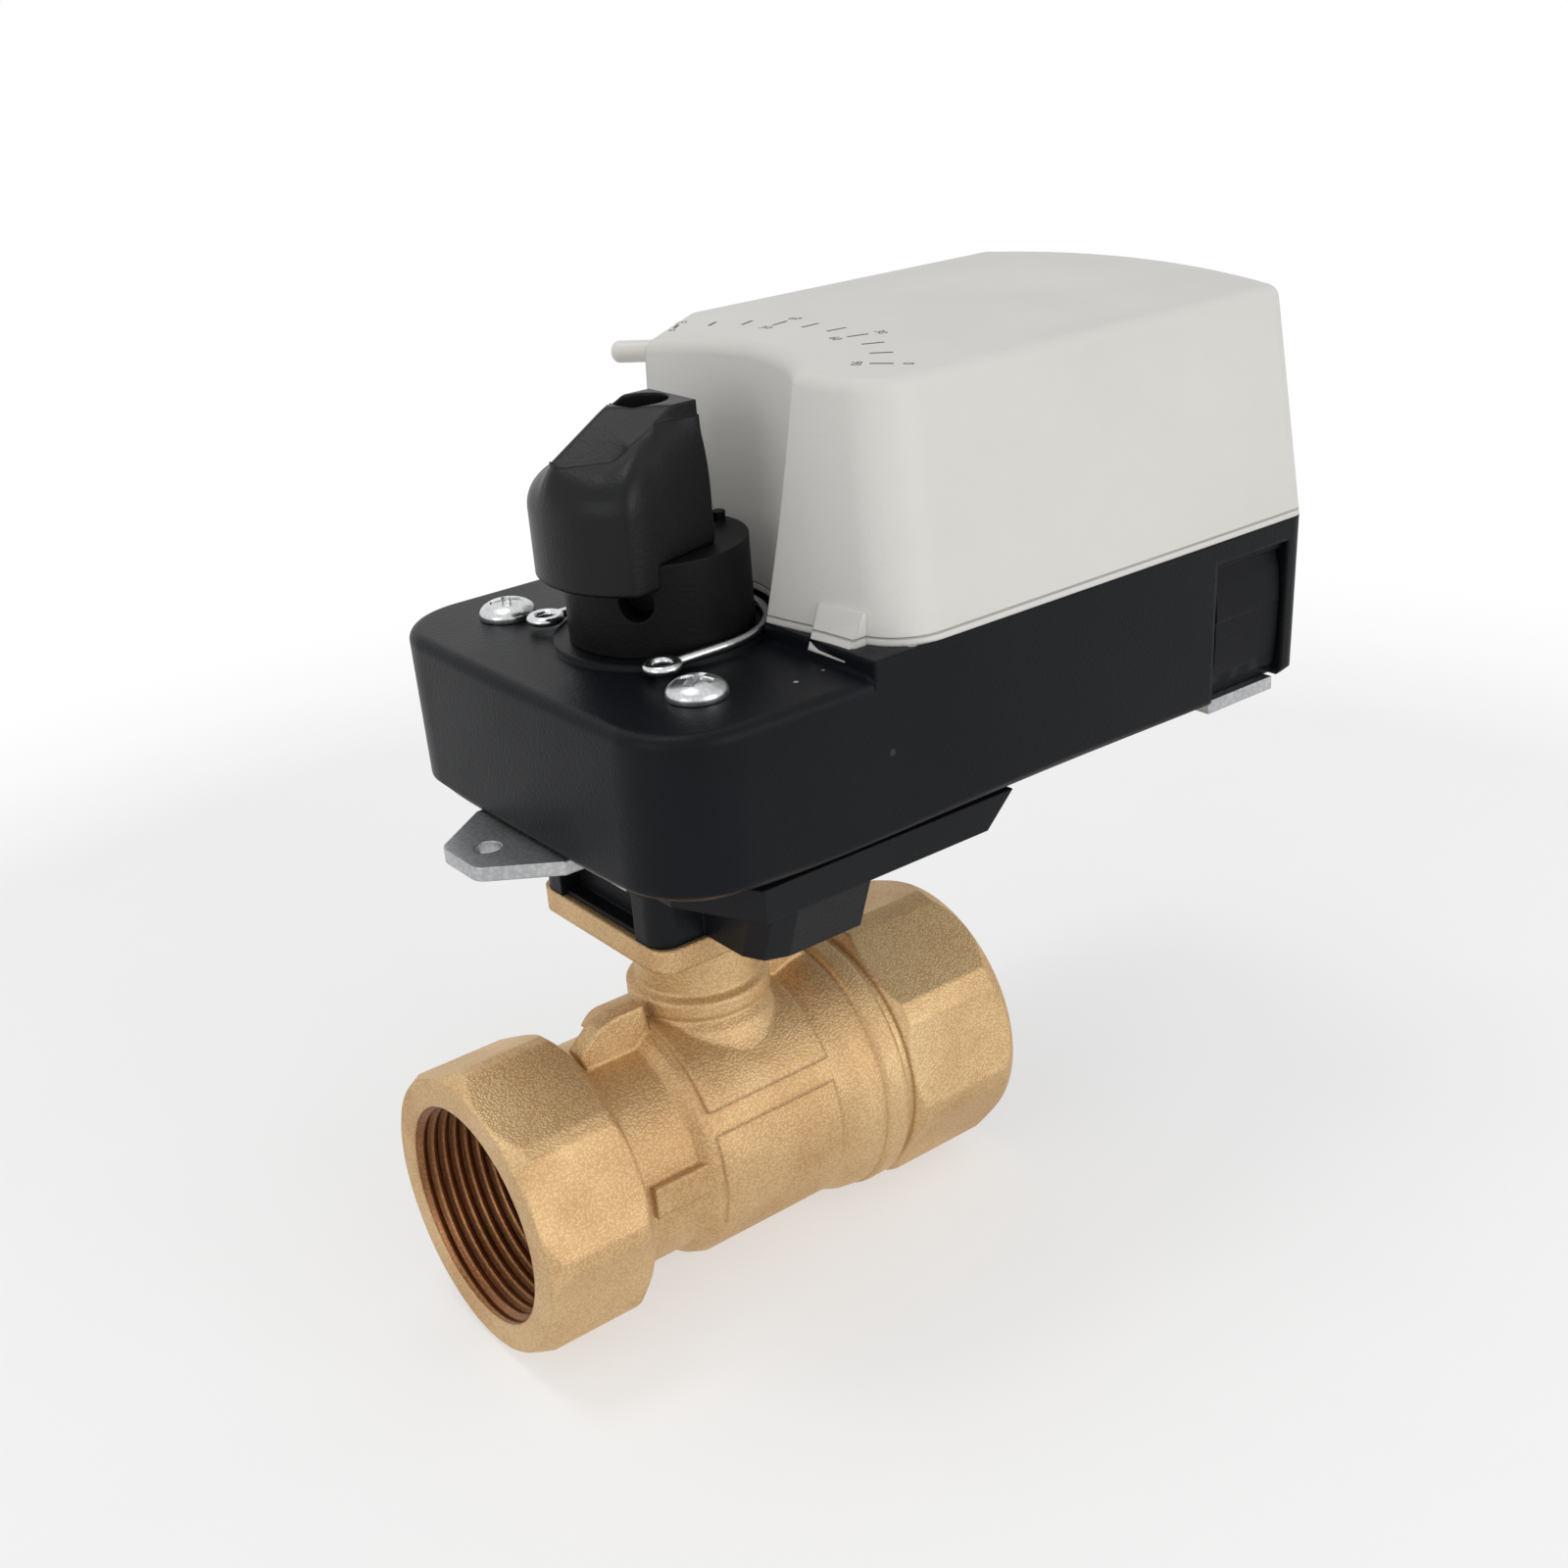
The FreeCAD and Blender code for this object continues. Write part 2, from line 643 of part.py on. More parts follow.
def make_deck_plate():
    """Plate right under the housing, whose rear face leans in towards its underside."""
    def outline(z, rear):
        front, h = deck_plate_x[0], deck_plate_half
        return Part.makePolygon([Vec(x, y, z) for x, y in (
            (front, -20), (bar_x[0] - 2, -h), (rear, -h), (rear, h), (bar_x[0] - 2, h), (front, 20),
            (front, -20))])
    return Part.makeLoft([outline(deck_plate_z, deck_plate_x[1] - deck_plate_lean),
                          outline(adapter_top, deck_plate_x[1])], True, True)


def make_cross_bar():
    """Bar across the valve, a little wider at the top than at the bottom."""
    def outline(z, half):
        x0, x1 = bar_x
        cut = 4.5
        return Part.makePolygon([Vec(x, y, z) for x, y in (
            (x0, -half + cut), (x0 + 0.3 * cut, -half + 0.3 * cut), (x0 + cut, -half), (x1 - 1, -half),
            (x1, -half + 1), (x1, half - 1), (x1 - 1, half), (x0 + cut, half),
            (x0 + 0.3 * cut, half - 0.3 * cut), (x0, half - cut), (x0, -half + cut))])
    return Part.makeLoft([outline(flange_top, bar_half), outline(deck_plate_z + 1, bar_half + bar_flare)],
                         True, True)


def adapter_screw_places():
    """Where the screws go from the base plate into the adapter."""
    return [(x, side * 20.0) for x in (0.0, 22.0) for side in (-1, 1)]


def make_adapter_screws():
    """Four screws that hold the base plate to the adapter, heads inside the housing."""
    screws = []
    for x, y in adapter_screw_places():
        head = rod(2 * plate_screw_r, base_top, base_top + 1.6, x, y)
        shank = rod(plate_screw_r, adapter_top - plate_screw_len, base_top, x, y)
        screws.append(head.fuse(shank))
    return Part.makeCompound(screws)


def make_base_plate():
    """Zinc-plated steel plate under the housing, with the anti-rotation tongue at the front."""
    x0 = front_x + 3
    plate = prism([(x0, -plate_half + 8), (x0 + 8, -plate_half), (plate_rear_x, -plate_half),
                   (plate_rear_x, plate_half), (x0 + 8, plate_half), (x0, plate_half - 8)], adapter_top, base_top)
    wing = half_width - draft - 0.9
    plate = plate.fuse(block((clip_x[0] + 0.4, clip_x[1] - 1.0), (-wing, wing), (adapter_top, base_top)))
    nose_x = front_x - tongue_len
    root, nose = tongue_root, tongue_nose
    tongue = prism([(x0 + 1, tongue_y - root), (front_x, tongue_y - root), (nose_x, tongue_y - nose),
                    (nose_x, tongue_y + nose), (front_x, tongue_y + root), (x0 + 1, tongue_y + root)],
                   adapter_top, base_top)
    corners = [e for e in upright_edges(tongue) if e.BoundBox.XMax < nose_x + 0.1]
    tongue = tongue.makeFillet(2.6, corners)
    plate = plate.fuse(tongue)
    plate = plate.cut(rod(tongue_hole_r, adapter_top - 1, base_top + 1, nose_x + tongue_hole_inset, tongue_y))
    plate = plate.cut(rod(bush_r, adapter_top - 1, base_top + 1))
    for x, y in adapter_screw_places():
        plate = plate.cut(rod(plate_screw_r + screw_gap, adapter_top - 1, base_top + 1, x, y))
    for x, y in (first_axis, second_axis):
        plate = plate.cut(rod(arbor_r, adapter_top - 1, base_top + 1, x, y))
    for side in (-1, 1):
        plate = plate.cut(rod(screw_r + screw_gap, adapter_top - 1, base_top + 1, screw_x, side * screw_half))
    return plate.removeSplitter()


def make_output_bush():
    """Bronze bush that carries the hub in the base plate."""
    outer = rod(bush_r, adapter_top, base_top + bush_len)
    return outer.cut(rod(hub_r + hub_fit, adapter_top - 1, base_top + bush_len + 1))


def make_lower_housing():
    """Black moulded tray: side walls, front deck with the collar's well, floor rim, posts and clips' recesses."""
    tray = housing_block(0, base_top, seam_z)
    tray = tray.makeChamfer(bottom_chamfer, edges_at_height(tray, base_top))
    step_cut = block((front_x - 5, ledge_x[0]), (-half_width - 5, half_width + 5), (deck_z, seam_z + 5))
    tray = tray.cut(step_cut)
    rim = [e for e in edges_at_height(tray, deck_z) if e.BoundBox.XMin < ledge_x[0] - 0.5]
    tray = tray.makeFillet(deck_round, rim)
    tray = tray.cut(rod(well_r, deck_z, seam_z + 1))
    inside = housing_block(wall, housing_floor, seam_z + 1)
    deck_limit = block((front_x - 5, ledge_x[1]), (-half_width - 5, half_width + 5), (deck_under, seam_z + 5))
    inside = inside.cut(deck_limit)
    thick = block((clip_x[0] - wall, rear_x), (half_width - draft - clip_recess - wall, half_width + 5),
                  (base_top, seam_z + 5))
    inside = inside.cut(both_sides(thick))
    tray = tray.cut(inside)
    tray = tray.cut(block(floor_open_x, (-floor_half, floor_half), (base_top - 1, housing_floor + 1)))
    disc = rod(well_r - 0.2, deck_z, deck_z + disc_proud)
    tray = tray.fuse(disc)
    tray = tray.fuse(rod(hub_r + 3, deck_under - 2, deck_z))
    for side in (-1, 1):
        tray = tray.fuse(rod(post_r, base_top, deck_z, screw_x, side * screw_half))
    tray = tray.cut(rod(hub_r + hub_fit, base_top, seam_z))
    for side in (-1, 1):
        tray = tray.cut(rod(screw_r + screw_gap, base_top - 1, deck_z + 2, screw_x, side * screw_half))
        for x in plate_post_xs():
            post = rod(plate_post_r, housing_floor - 0.2, gear_plate_z, x, side * plate_post_half())
            tray = tray.fuse(post.common(housing_block(wall / 2, base_top, seam_z)))
    tray = tray.cut(both_sides(make_clip_space()))
    tray = tray.cut(both_sides(make_latch_tab(tab_gap)))
    for side in (-1, 1):
        tray = tray.cut(rod_along((1, 0, 0), grommet_r, (rear_x - 5 * wall, side * grommet_y, grommet_z), 10 * wall))
    return tray.removeSplitter()


def plate_post_xs():
    """Along the housing, where the posts for the gear plate stand."""
    return (19.0, 84.0)


def plate_post_half():
    """Half the distance across between those posts."""
    return floor_half + 2.6


def make_clip_space():
    """Recess in the side wall at a rear corner, as a cutter on the left side."""
    y0 = half_width - draft - clip_recess
    return block(clip_x, (y0, half_width + 3), (base_top - 1, clip_z[1]))


def make_rear_clip():
    """Ribbed latch that hooks the cover at a rear corner."""
    y0 = half_width - draft - clip_recess
    xs = (clip_x[0] + clip_gap + 1.0, clip_x[1] - clip_gap)
    zs = (clip_z[0], clip_z[1] - clip_gap)
    plate = block(xs, (y0, y0 + 1.3), zs)
    pitch = (xs[1] - xs[0] - 3.0) / clip_ribs
    for i in range(clip_ribs):
        x = xs[0] + 2.0 + i * pitch
        plate = plate.fuse(block((x, x + 0.5 * pitch), (y0, y0 + 1.9), (zs[0] + 2.5, zs[0] + 12.5)))
    return plate.fuse(block(xs, (y0, y0 + 2.0), (zs[1] - 2.2, zs[1])))


def make_latch_tab(grow=0.0):
    """Wedge at the foot of the front wall, on the left side; grown on all faces it cuts its own recess."""
    low, high = tab_zs
    front_low, front_high = tab_front_x
    points = [(front_low - grow, low - grow), (front_high - grow, high + grow), (tab_back_x + grow, high + grow),
              (tab_back_x + grow, low - grow)]
    slope = tab_run[0] / tab_run[1]
    start = tab_start_y - grow
    corners = [Vec(x - slope * grow, start, z) for x, z in points]
    face = Part.Face(Part.makePolygon(corners + corners[:1]))
    return face.extrude(Vec(tab_run[0] + 2 * grow * slope, tab_run[1] + 2 * grow, 0))


def corner_direction():
    """Unit vector along the line across the cover's corner, and the one that points out of it."""
    run_x, run_y = recess_to[0] - recess_from[0], recess_to[1] - recess_from[1]
    length = math.hypot(run_x, run_y)
    along = (run_x / length, run_y / length)
    return along, (-along[1], along[0])


def corner_cutter(inset, z0):
    """Prism outside the line across the cover's left front corner, the line drawn in by inset."""
    along, out = corner_direction()
    far = 40.0
    low = (recess_from[0] - inset * out[0], recess_from[1] - inset * out[1])
    corners = []
    for run, off in ((-far, 0), (far, 0), (far, far), (-far, far)):
        corners.append((low[0] + run * along[0] + off * out[0], low[1] + run * along[1] + off * out[1]))
    return prism(corners, z0, cover_top + cover_crown + 5)


def release_base():
    """Point where the release button's axis crosses the cut corner."""
    share = release_share
    return (recess_from[0] + share * (recess_to[0] - recess_from[0]),
            recess_from[1] + share * (recess_to[1] - recess_from[1]))


def release_rod(radius, start, end):
    """Cylinder on the release button's axis between two distances out of the cut corner."""
    out = corner_direction()[1]
    x, y = release_base()
    return rod_along((out[0], out[1], 0), radius, (x + start * out[0], y + start * out[1], release_z), end - start)


def make_top_cover():
    """Pale moulded cover: drafted walls, crowned top, scoop round the knob, cut corner and latch tabs."""
    outer = cover_block(0, seam_z, cover_top + cover_crown + 1)
    outer = outer.cut(notch_cone(0, seam_z - 1, cover_top + cover_crown + 2))
    outer = outer.cut(corner_cutter(0, recess_z))
    outer = outer.makeFillet(cover_round, [e for e in outer.Edges if e.BoundBox.ZMin > cover_top - 3])
    inner = cover_block(wall, seam_z - 1, cover_top + cover_crown + 1)
    inner = inner.cut(notch_cone(wall, seam_z - 2, cover_top + cover_crown + 3))
    inner = inner.cut(corner_cutter(wall, recess_z - wall))
    shell = outer.cut(inner)
    shell = shell.fuse(both_sides(make_latch_tab()))
    return shell.cut(release_rod(release_r + release_fit, -release_head - release_travel - 0.5, 20))


def make_housing_screws():
    """Two zinc pan-head screws in the deck, threaded into the base plate."""
    screws = []
    for side in (-1, 1):
        y = side * screw_half
        head = turned_z([(0, deck_z), (screw_head_r, deck_z), (screw_head_r, deck_z + 0.9),
                         (screw_head_r * 0.82, deck_z + 0.75 * screw_head_len),
                         (screw_head_r * 0.45, deck_z + screw_head_len), (0, deck_z + screw_head_len)],
                        screw_x, y)
        shank = rod(screw_r, adapter_top, deck_z, screw_x, y)
        cross = block((screw_x - 2.2, screw_x + 2.2), (y - 0.4, y + 0.4), (deck_z + 1.1, deck_z + 4))
        cross = cross.fuse(block((screw_x - 0.4, screw_x + 0.4), (y - 2.2, y + 2.2), (deck_z + 1.1, deck_z + 4)))
        screws.append(head.fuse(shank).cut(cross))
    return Part.makeCompound(screws)


def make_retaining_clip():
    """Spring-wire clip that lies round the hub's collar, with an eye at each end."""
    wire_r = 0.7
    arm = collar_r + 1.6
    z = deck_z + disc_proud + wire_r
    eye_x, eye_r = -10.0, 2.0
    path = Part.Wire([
        Part.LineSegment(Vec(eye_x + eye_r, arm, z), Vec(0, arm, z)).toShape(),
        Part.Arc(Vec(0, arm, z), Vec(arm, 0, z), Vec(0, -arm, z)).toShape(),
        Part.LineSegment(Vec(0, -arm, z), Vec(eye_x + eye_r, -arm, z)).toShape()])
    section = Part.Wire([Part.Circle(Vec(eye_x + eye_r, arm, z), Vec(1, 0, 0), wire_r).toShape()])
    clip = path.makePipeShell([section], True, False)
    for side in (-1, 1):
        eye = Part.makeTorus(eye_r, wire_r, Vec(eye_x, side * arm, z))
        clip = clip.fuse(eye)
    return clip


def make_drive_hub():
    """Sleeve that turns the stem: bearing length, collar over the deck and the knob's socket."""
    hub = rod(hub_r, hub_bottom, collar_z + 0.1).fuse(rod(collar_r, collar_z, collar_top))
    socket = block((-stem_r - 0.05, stem_r + 0.05), (-stem_flats / 2 - 0.05, stem_flats / 2 + 0.05),
                   (hub_bottom - 1, stem_top + 0.5))
    socket = socket.common(rod(stem_r + 0.05, hub_bottom - 1, stem_top + 0.5))
    hub = hub.cut(socket)
    hub = hub.cut(rod(knob_screw_r + 2 * screw_gap, stem_top, collar_top))
    hub = hub.cut(block((-6.1, 6.1), (-4.1, 4.1), (collar_top - 5, collar_top + 1)))
    a = math.radians(collar_hole_angle)
    direction = (math.cos(a), math.sin(a), 0)
    hub = hub.cut(rod_along(direction, collar_hole_r, (8 * direction[0], 8 * direction[1], collar_hole_z), 8))
    pointer = rod(pointer_r, collar_top, collar_top + 1.4, pointer_x, 0)
    return hub.fuse(pointer).removeSplitter()


def knob_section(share):
    """Outline of the knob round its shoulder, from the foot (share 0) to the head (share 1)."""
    full = math.radians(knob_shoulder_turn)
    inward = (1 - math.cos(share * full)) / (1 - math.cos(full))
    upward = math.sin(share * full) / math.sin(full)
    sizes = [low + (high - low) * inward for low, high in zip(knob_foot, knob_head)]
    nose_z, rear_z = (low + (high - low) * upward for low, high in (knob_shoulder, knob_rear_rise))
    return knob_outline(*sizes, nose_z, rear_z)


def knob_outline(nose, tip_x, tip_half, bulge, corner_x, half, rear_half, nose_z, rear_z):
    """Round nose with bowed sides, two flanks and a straight rear, in a plane that tips from nose to rear."""
    rear = knob_top_x[1] + knob_rear_spare

    def at(x, y):
        return Vec(x, y, nose_z + (rear_z - nose_z) * (x - nose) / (rear - nose))

    run_x, run_y = corner_x - tip_x, half - tip_half
    length = math.hypot(run_x, run_y)
    mid_x = (corner_x + tip_x) / 2 - bulge * run_y / length
    mid_y = (half + tip_half) / 2 + bulge * run_x / length
    edges = [Part.LineSegment(at(rear, -rear_half), at(rear, rear_half)),
             Part.LineSegment(at(rear, rear_half), at(corner_x, half)),
             Part.Arc(at(corner_x, half), at(mid_x, mid_y), at(tip_x, tip_half)),
             Part.Arc(at(tip_x, tip_half), at(nose, 0), at(tip_x, -tip_half)),
             Part.Arc(at(tip_x, -tip_half), at(mid_x, -mid_y), at(corner_x, -half)),
             Part.LineSegment(at(corner_x, -half), at(rear, -rear_half))]
    return Part.Wire([edge.toShape() for edge in edges])


def facet_cutter():
    """Slab above the right one of the two facets that fall from the knob's top towards its nose."""
    slab = block((-20, 60), (-60, 60), (0, 40))
    slab.rotate(Vec(0, 0, 0), Vec(0, 1, 0), math.degrees(math.atan(knob_facet_fall)))
    slab.translate(Vec(knob_facet_start, 0, knob_top))
    slab.rotate(Vec(0, 0, 0), Vec(0, 0, 1), 180 + knob_facet_turn)
    return slab


def make_position_knob():
    """Matte black pointer knob: skirt on the collar, round shoulder, two facets up to a block with a hole."""
    wires = [knob_outline(*knob_foot, knob_bottom, knob_bottom)]
    wires += [knob_section(step / knob_shoulder_steps) for step in range(knob_shoulder_steps + 1)]
    knob = Part.makeLoft(wires, True, True)
    low = knob_shoulder[0] + 2
    head = Part.Face(knob_outline(*knob_head, low, low)).makeOffset2D(knob_head_out, 2)
    head = head.extrude(Vec(0, 0, knob_head_top - low))
    right_facet = facet_cutter()
    left_facet = right_facet.mirror(Vec(0, knob_ridge_y, 0), Vec(0, 1, 0))
    knob = knob.fuse(head).cut(right_facet).cut(left_facet)
    knob = knob.fuse(block(knob_top_x, knob_top_y, (low, knob_top)).cut(right_facet))
    knob = knob.cut(block((knob_top_x[1], knob_top_x[1] + 9), (-20, 20), (knob_bottom - 1, knob_top + 1)))
    knob = knob.cut(rod(collar_r + knob_skirt_gap, knob_bottom - 1, collar_top))
    knob = knob.fuse(block((-6, 4.4), (-4, 4), (collar_top - 4.8, collar_top + 1)))
    knob = knob.cut(rod(knob_hole_r, knob_hole_floor, knob_top + 1))
    return knob.cut(rod(knob_screw_r + screw_gap, collar_top - 6, knob_hole_floor + 1))


def make_knob_screw():
    """Long screw from the knob's hole down into the top of the stem."""
    head = rod(knob_head_r, knob_hole_floor, knob_hole_floor + knob_head_len)
    shank = rod(knob_screw_r, knob_hole_floor - knob_screw_len, knob_hole_floor)
    drive = prism([(1.6 * math.cos(math.radians(60 * i)), 1.6 * math.sin(math.radians(60 * i)))
                   for i in range(6)], knob_hole_floor + 1.4, knob_hole_floor + knob_head_len + 1)
    return head.fuse(shank).cut(drive)


def involute_angle(angle):
    """Involute function of an angle in radians."""
    return math.tan(angle) - angle


def gear_points(module, teeth):
    """Outline of a spur gear as (radius, angle) pairs for one tooth centred on angle 0.

    Each flank is an involute of the base circle, thinned by half the backlash.
    """
    pitch_r = module * teeth / 2
    base_r = pitch_r * math.cos(math.radians(pressure_angle))
    tip_r = pitch_r + addendum * module
    root_r = pitch_r - dedendum * module
    half = math.pi / (2 * teeth) - backlash / 4 / pitch_r + involute_angle(math.radians(pressure_angle))
    start_r = max(base_r, root_r)
    flank = []
    for share in (0.0, 0.45, 1.0):
        r = start_r + (tip_r - start_r) * share
        flank.append((r, half - involute_angle(math.acos(min(1.0, base_r / r)))))
    if root_r < base_r:
        flank.insert(0, (root_r, flank[0][1]))
    falling = [(r, -a) for r, a in flank]
    rising = [(r, a) for r, a in reversed(flank)]
    return falling + rising


def spur_gear(module, teeth, z0, z1, centre, phase):
    """Solid spur gear with a tooth centred on the angle phase, in degrees."""
    points = []
    for i in range(teeth):
        middle = math.radians(phase) + 2 * math.pi * i / teeth
        for r, a in gear_points(module, teeth):
            points.append((centre[0] + r * math.cos(middle + a), centre[1] + r * math.sin(middle + a)))
    return prism(points, z0, z1)


def meshed_phase(direction, teeth, phase, other_teeth):
    """Phase of a gear that meshes with another one that lies at a direction from it, all in degrees."""
    share = teeth * (direction - phase) / 360
    return direction + 180 - (360 / other_teeth) * (0.5 - share)


def gear_centres():
    """Axes of the first gear, the second gear and the motor, from teeth and modules."""
    reach_out = module_out * (sector_teeth + first_pinion_teeth) / 2
    reach_mid = module_mid * (first_wheel_teeth + second_pinion_teeth) / 2
    reach_fast = module_fast * (second_wheel_teeth + motor_teeth) / 2
    first = (reach_out, 0.0)
    bend = math.radians(train_bend)
    second = (first[0] + reach_mid * math.cos(bend), first[1] + reach_mid * math.sin(bend))
    back = math.degrees(math.asin(-second[1] / reach_fast))
    motor = (second[0] + reach_fast * math.cos(math.radians(back)), 0.0)
    return first, second, motor, back


first_axis, second_axis, motor_axis, motor_bend = gear_centres()


def make_output_gear():
    """Toothed sector fixed on the hub."""
    z0, z1 = sector_z
    full = spur_gear(module_out, sector_teeth, z0, z1, (0, 0), 0)
    reach = module_out * sector_teeth
    a = math.radians(sector_half_angle)
    wedge = prism([(0, 0), (reach * math.cos(a), -reach * math.sin(a)), (reach, -reach * 0.8),
                   (reach, reach * 0.8), (reach * math.cos(a), reach * math.sin(a))], z0, z1)
    sector = full.common(wedge).fuse(rod(hub_r + 3.5, z0, z1))
    return sector.cut(rod(hub_r, z0 - 1, z1 + 1)).removeSplitter()


def compound_gear(centre, wheel, wheel_z, pinion, pinion_z, wheel_phase, pinion_phase):
    """Moulded gear with a large wheel and a small pinion on one hub."""
    hub = rod(gear_hub_r, base_top + end_play, gear_plate_z - end_play, *centre)
    big = spur_gear(wheel[0], wheel[1], wheel_z[0], wheel_z[1], centre, wheel_phase)
    small = spur_gear(pinion[0], pinion[1], pinion_z[0] - pinion_proud, pinion_z[1] + pinion_proud,
                      centre, pinion_phase)
    gear = hub.fuse(big).fuse(small)
    gear = gear.cut(rod(arbor_r + arbor_fit, base_top, gear_plate_z, *centre))
    return gear.removeSplitter()


def make_first_gear():
    """Gear that meshes with the output sector, between it and the second gear."""
    pinion_phase = meshed_phase(0.0, sector_teeth, 0.0, first_pinion_teeth)
    return compound_gear(first_axis, (module_mid, first_wheel_teeth), mid_mesh_z,
                         (module_out, first_pinion_teeth), sector_z, 0.0, pinion_phase)


def make_second_gear():
    """Gear between the first gear and the motor's pinion."""
    pinion_phase = meshed_phase(train_bend, first_wheel_teeth, 0.0, second_pinion_teeth)
    return compound_gear(second_axis, (module_fast, second_wheel_teeth), fast_mesh_z,
                         (module_mid, second_pinion_teeth), mid_mesh_z, 0.0, pinion_phase)


def make_motor_pinion():
    """Pinion on the motor's shaft."""
    phase = meshed_phase(motor_bend, second_wheel_teeth, 0.0, motor_teeth)
    z0, z1 = fast_mesh_z
    pinion = spur_gear(module_fast, motor_teeth, z0 - pinion_proud, z1 + pinion_proud, motor_axis, phase)
    return pinion.fuse(rod(shaft_r, z0, motor_z + shaft_inside, *motor_axis)).removeSplitter()


def make_gear_arbors():
    """Two steel pins that the gears run on, held in the base plate and the gear plate."""
    return Part.makeCompound([rod(arbor_r - 0.02, adapter_top, motor_z, *axis)
                              for axis in (first_axis, second_axis)])


def make_gear_plate():
    """Steel plate over the gears that carries the motor and the board's spacers."""
    x0 = ledge_x[1] + 0.4
    half = plate_post_half() + plate_post_r - 0.6
    plate = block((x0, rear_x - wall - 4), (-half, half), (gear_plate_z, motor_z))
    plate = plate.makeFillet(3, upright_edges(plate))
    for axis in (first_axis, second_axis):
        plate = plate.cut(rod(arbor_r, gear_plate_z - 1, motor_z + 1, *axis))
    return plate.cut(rod(motor_boss_r + 0.1, gear_plate_z - 1, motor_z + 1, *motor_axis))


def make_motor():
    """Small synchronous motor: drawn can, ears and the boss that its shaft leaves through."""
    x, y = motor_axis
    can = rod(motor_r, motor_z, motor_z + motor_len, x, y)
    can = can.makeFillet(1.5, edges_at_height(can, motor_z + motor_len))
    ears = block((x - 4.5, x + 4.5), (-motor_ear_half, motor_ear_half), (motor_z, motor_z + motor_ear_len))
    boss = rod(motor_boss_r, gear_plate_z, motor_z + 0.5, x, y)
    motor = can.fuse(ears).fuse(boss)
    motor = motor.cut(rod(shaft_r + arbor_fit, gear_plate_z - 1, motor_z + shaft_inside + screw_gap, x, y))
    for side in (-1, 1):
        motor = motor.cut(rod(1.6, motor_z - 1, motor_z + 3, x, side * (motor_ear_half - 3)))
    return motor.removeSplitter()


def make_motor_screws():
    """Two screws through the motor's ears into the gear plate."""
    screws = []
    for side in (-1, 1):
        y = side * (motor_ear_half - 3)
        z = motor_z + motor_ear_len
        screws.append(rod(2.6, z, z + 1.8, motor_axis[0], y).fuse(rod(1.5, motor_z, z, motor_axis[0], y)))
    return Part.makeCompound(screws)


def spacer_places():
    """Corners of the board that stand on spacers."""
    xs = (board_x[0] + 3.5, board_x[1] - 3.5)
    return [(x, side * (board_half - 3.5)) for x in xs for side in (-1, 1)]


def make_board_spacers():
    """Four posts between the gear plate and the board."""
    return Part.makeCompound([rod(spacer_r, motor_z, board_z, x, y) for x, y in spacer_places()])


def make_circuit_board():
    """Board over the motor."""
    board = block(board_x, (-board_half, board_half), (board_z, board_z + board_len))
    return board.makeFillet(2, upright_edges(board))


def make_board_components():
    """Capacitor, relay and control chip on the board."""
    top = board_z + board_len
    x0 = board_x[0]
    capacitor = rod_along((0, 1, 0), 4.0, (x0 + 13, -9, top + 4.0), 18)
    relay = block((x0 + 23, x0 + 38), (2, 17), (top, top + 7.5))
    chip = block((x0 + 25, x0 + 35), (-16, -8), (top, top + 1.8))
    return Part.makeCompound([capacitor, relay, chip])


def make_terminal_block():
    """Row of screw terminals at the rear of the board."""
    top = board_z + board_len
    body = block(terminal_x, (-terminal_half, terminal_half), (top, top + terminal_len))
    pitch = 2 * terminal_half / terminal_ways
    for i in range(terminal_ways):
        y = -terminal_half + pitch * (i + 0.5)
        body = body.cut(rod(0.35 * pitch, top + terminal_len - 2, top + terminal_len + 1,
                            terminal_x[0] + 3.6, y))
        body = body.cut(block((terminal_x[1] - 3, terminal_x[1] + 1), (y - 1.6, y + 1.6), (top + 1.4, top + 4.6)))
    return body


def make_switch_cam():
    """Disc on the hub with a lobe for each end switch."""
    z0, z1 = cam_z
    cam = rod(cam_r, z0, z1)
    for side in (-1, 1):
        a = math.radians(side * 125)
        lobe = rod(3.0, z0, z1, (cam_lobe_r - 3.0) * math.cos(a), (cam_lobe_r - 3.0) * math.sin(a))
        cam = cam.fuse(lobe)
    return cam.cut(rod(hub_r, z0 - 1, z1 + 1)).removeSplitter()


def make_limit_switches():
    """Two end-of-travel switches hung under the gear plate beside the cam."""
    length, width, height = switch_size
    z0 = gear_plate_z - height
    body = block((switch_x - length / 2, switch_x + length / 2),
                 (switch_y - width / 2, switch_y + width / 2), (z0, gear_plate_z))
    plunger = block((switch_x - length / 2 + 1.5, switch_x - length / 2 + 3.5),
                    (switch_y - width / 2 - 1.0, switch_y - width / 2), (z0 + 1, z0 + 3))
    deck_gap = block((0, ledge_x[1] + 0.3), (0, half_width), (deck_under - 0.3, deck_z + 10))
    return both_sides(body.fuse(plunger).cut(deck_gap))


def make_gear_release():
    """Button at the cover's cut corner that frees the gears for turning by hand."""
    stalk = release_rod(release_r, -release_head, release_proud)
    tip = [e for e in stalk.Edges if e.Closed and e.BoundBox.Center.y > release_base()[1] + 3]
    stalk = stalk.makeFillet(1.2, tip)
    stalk = stalk.fuse(release_rod(release_shank_r, -release_inside, -release_head))
    out = corner_direction()[1]
    angle = math.degrees(math.atan2(out[1], out[0]))
    x, y = release_base()
    paddle = block((-release_inside, -release_inside + 2), (-release_paddle, release_paddle),
                   (release_z - 5, release_z + release_shank_r))
    paddle.rotate(Vec(0, 0, 0), Vec(0, 0, 1), angle)
    return stalk.fuse(paddle.translated(Vec(x, y, 0)))


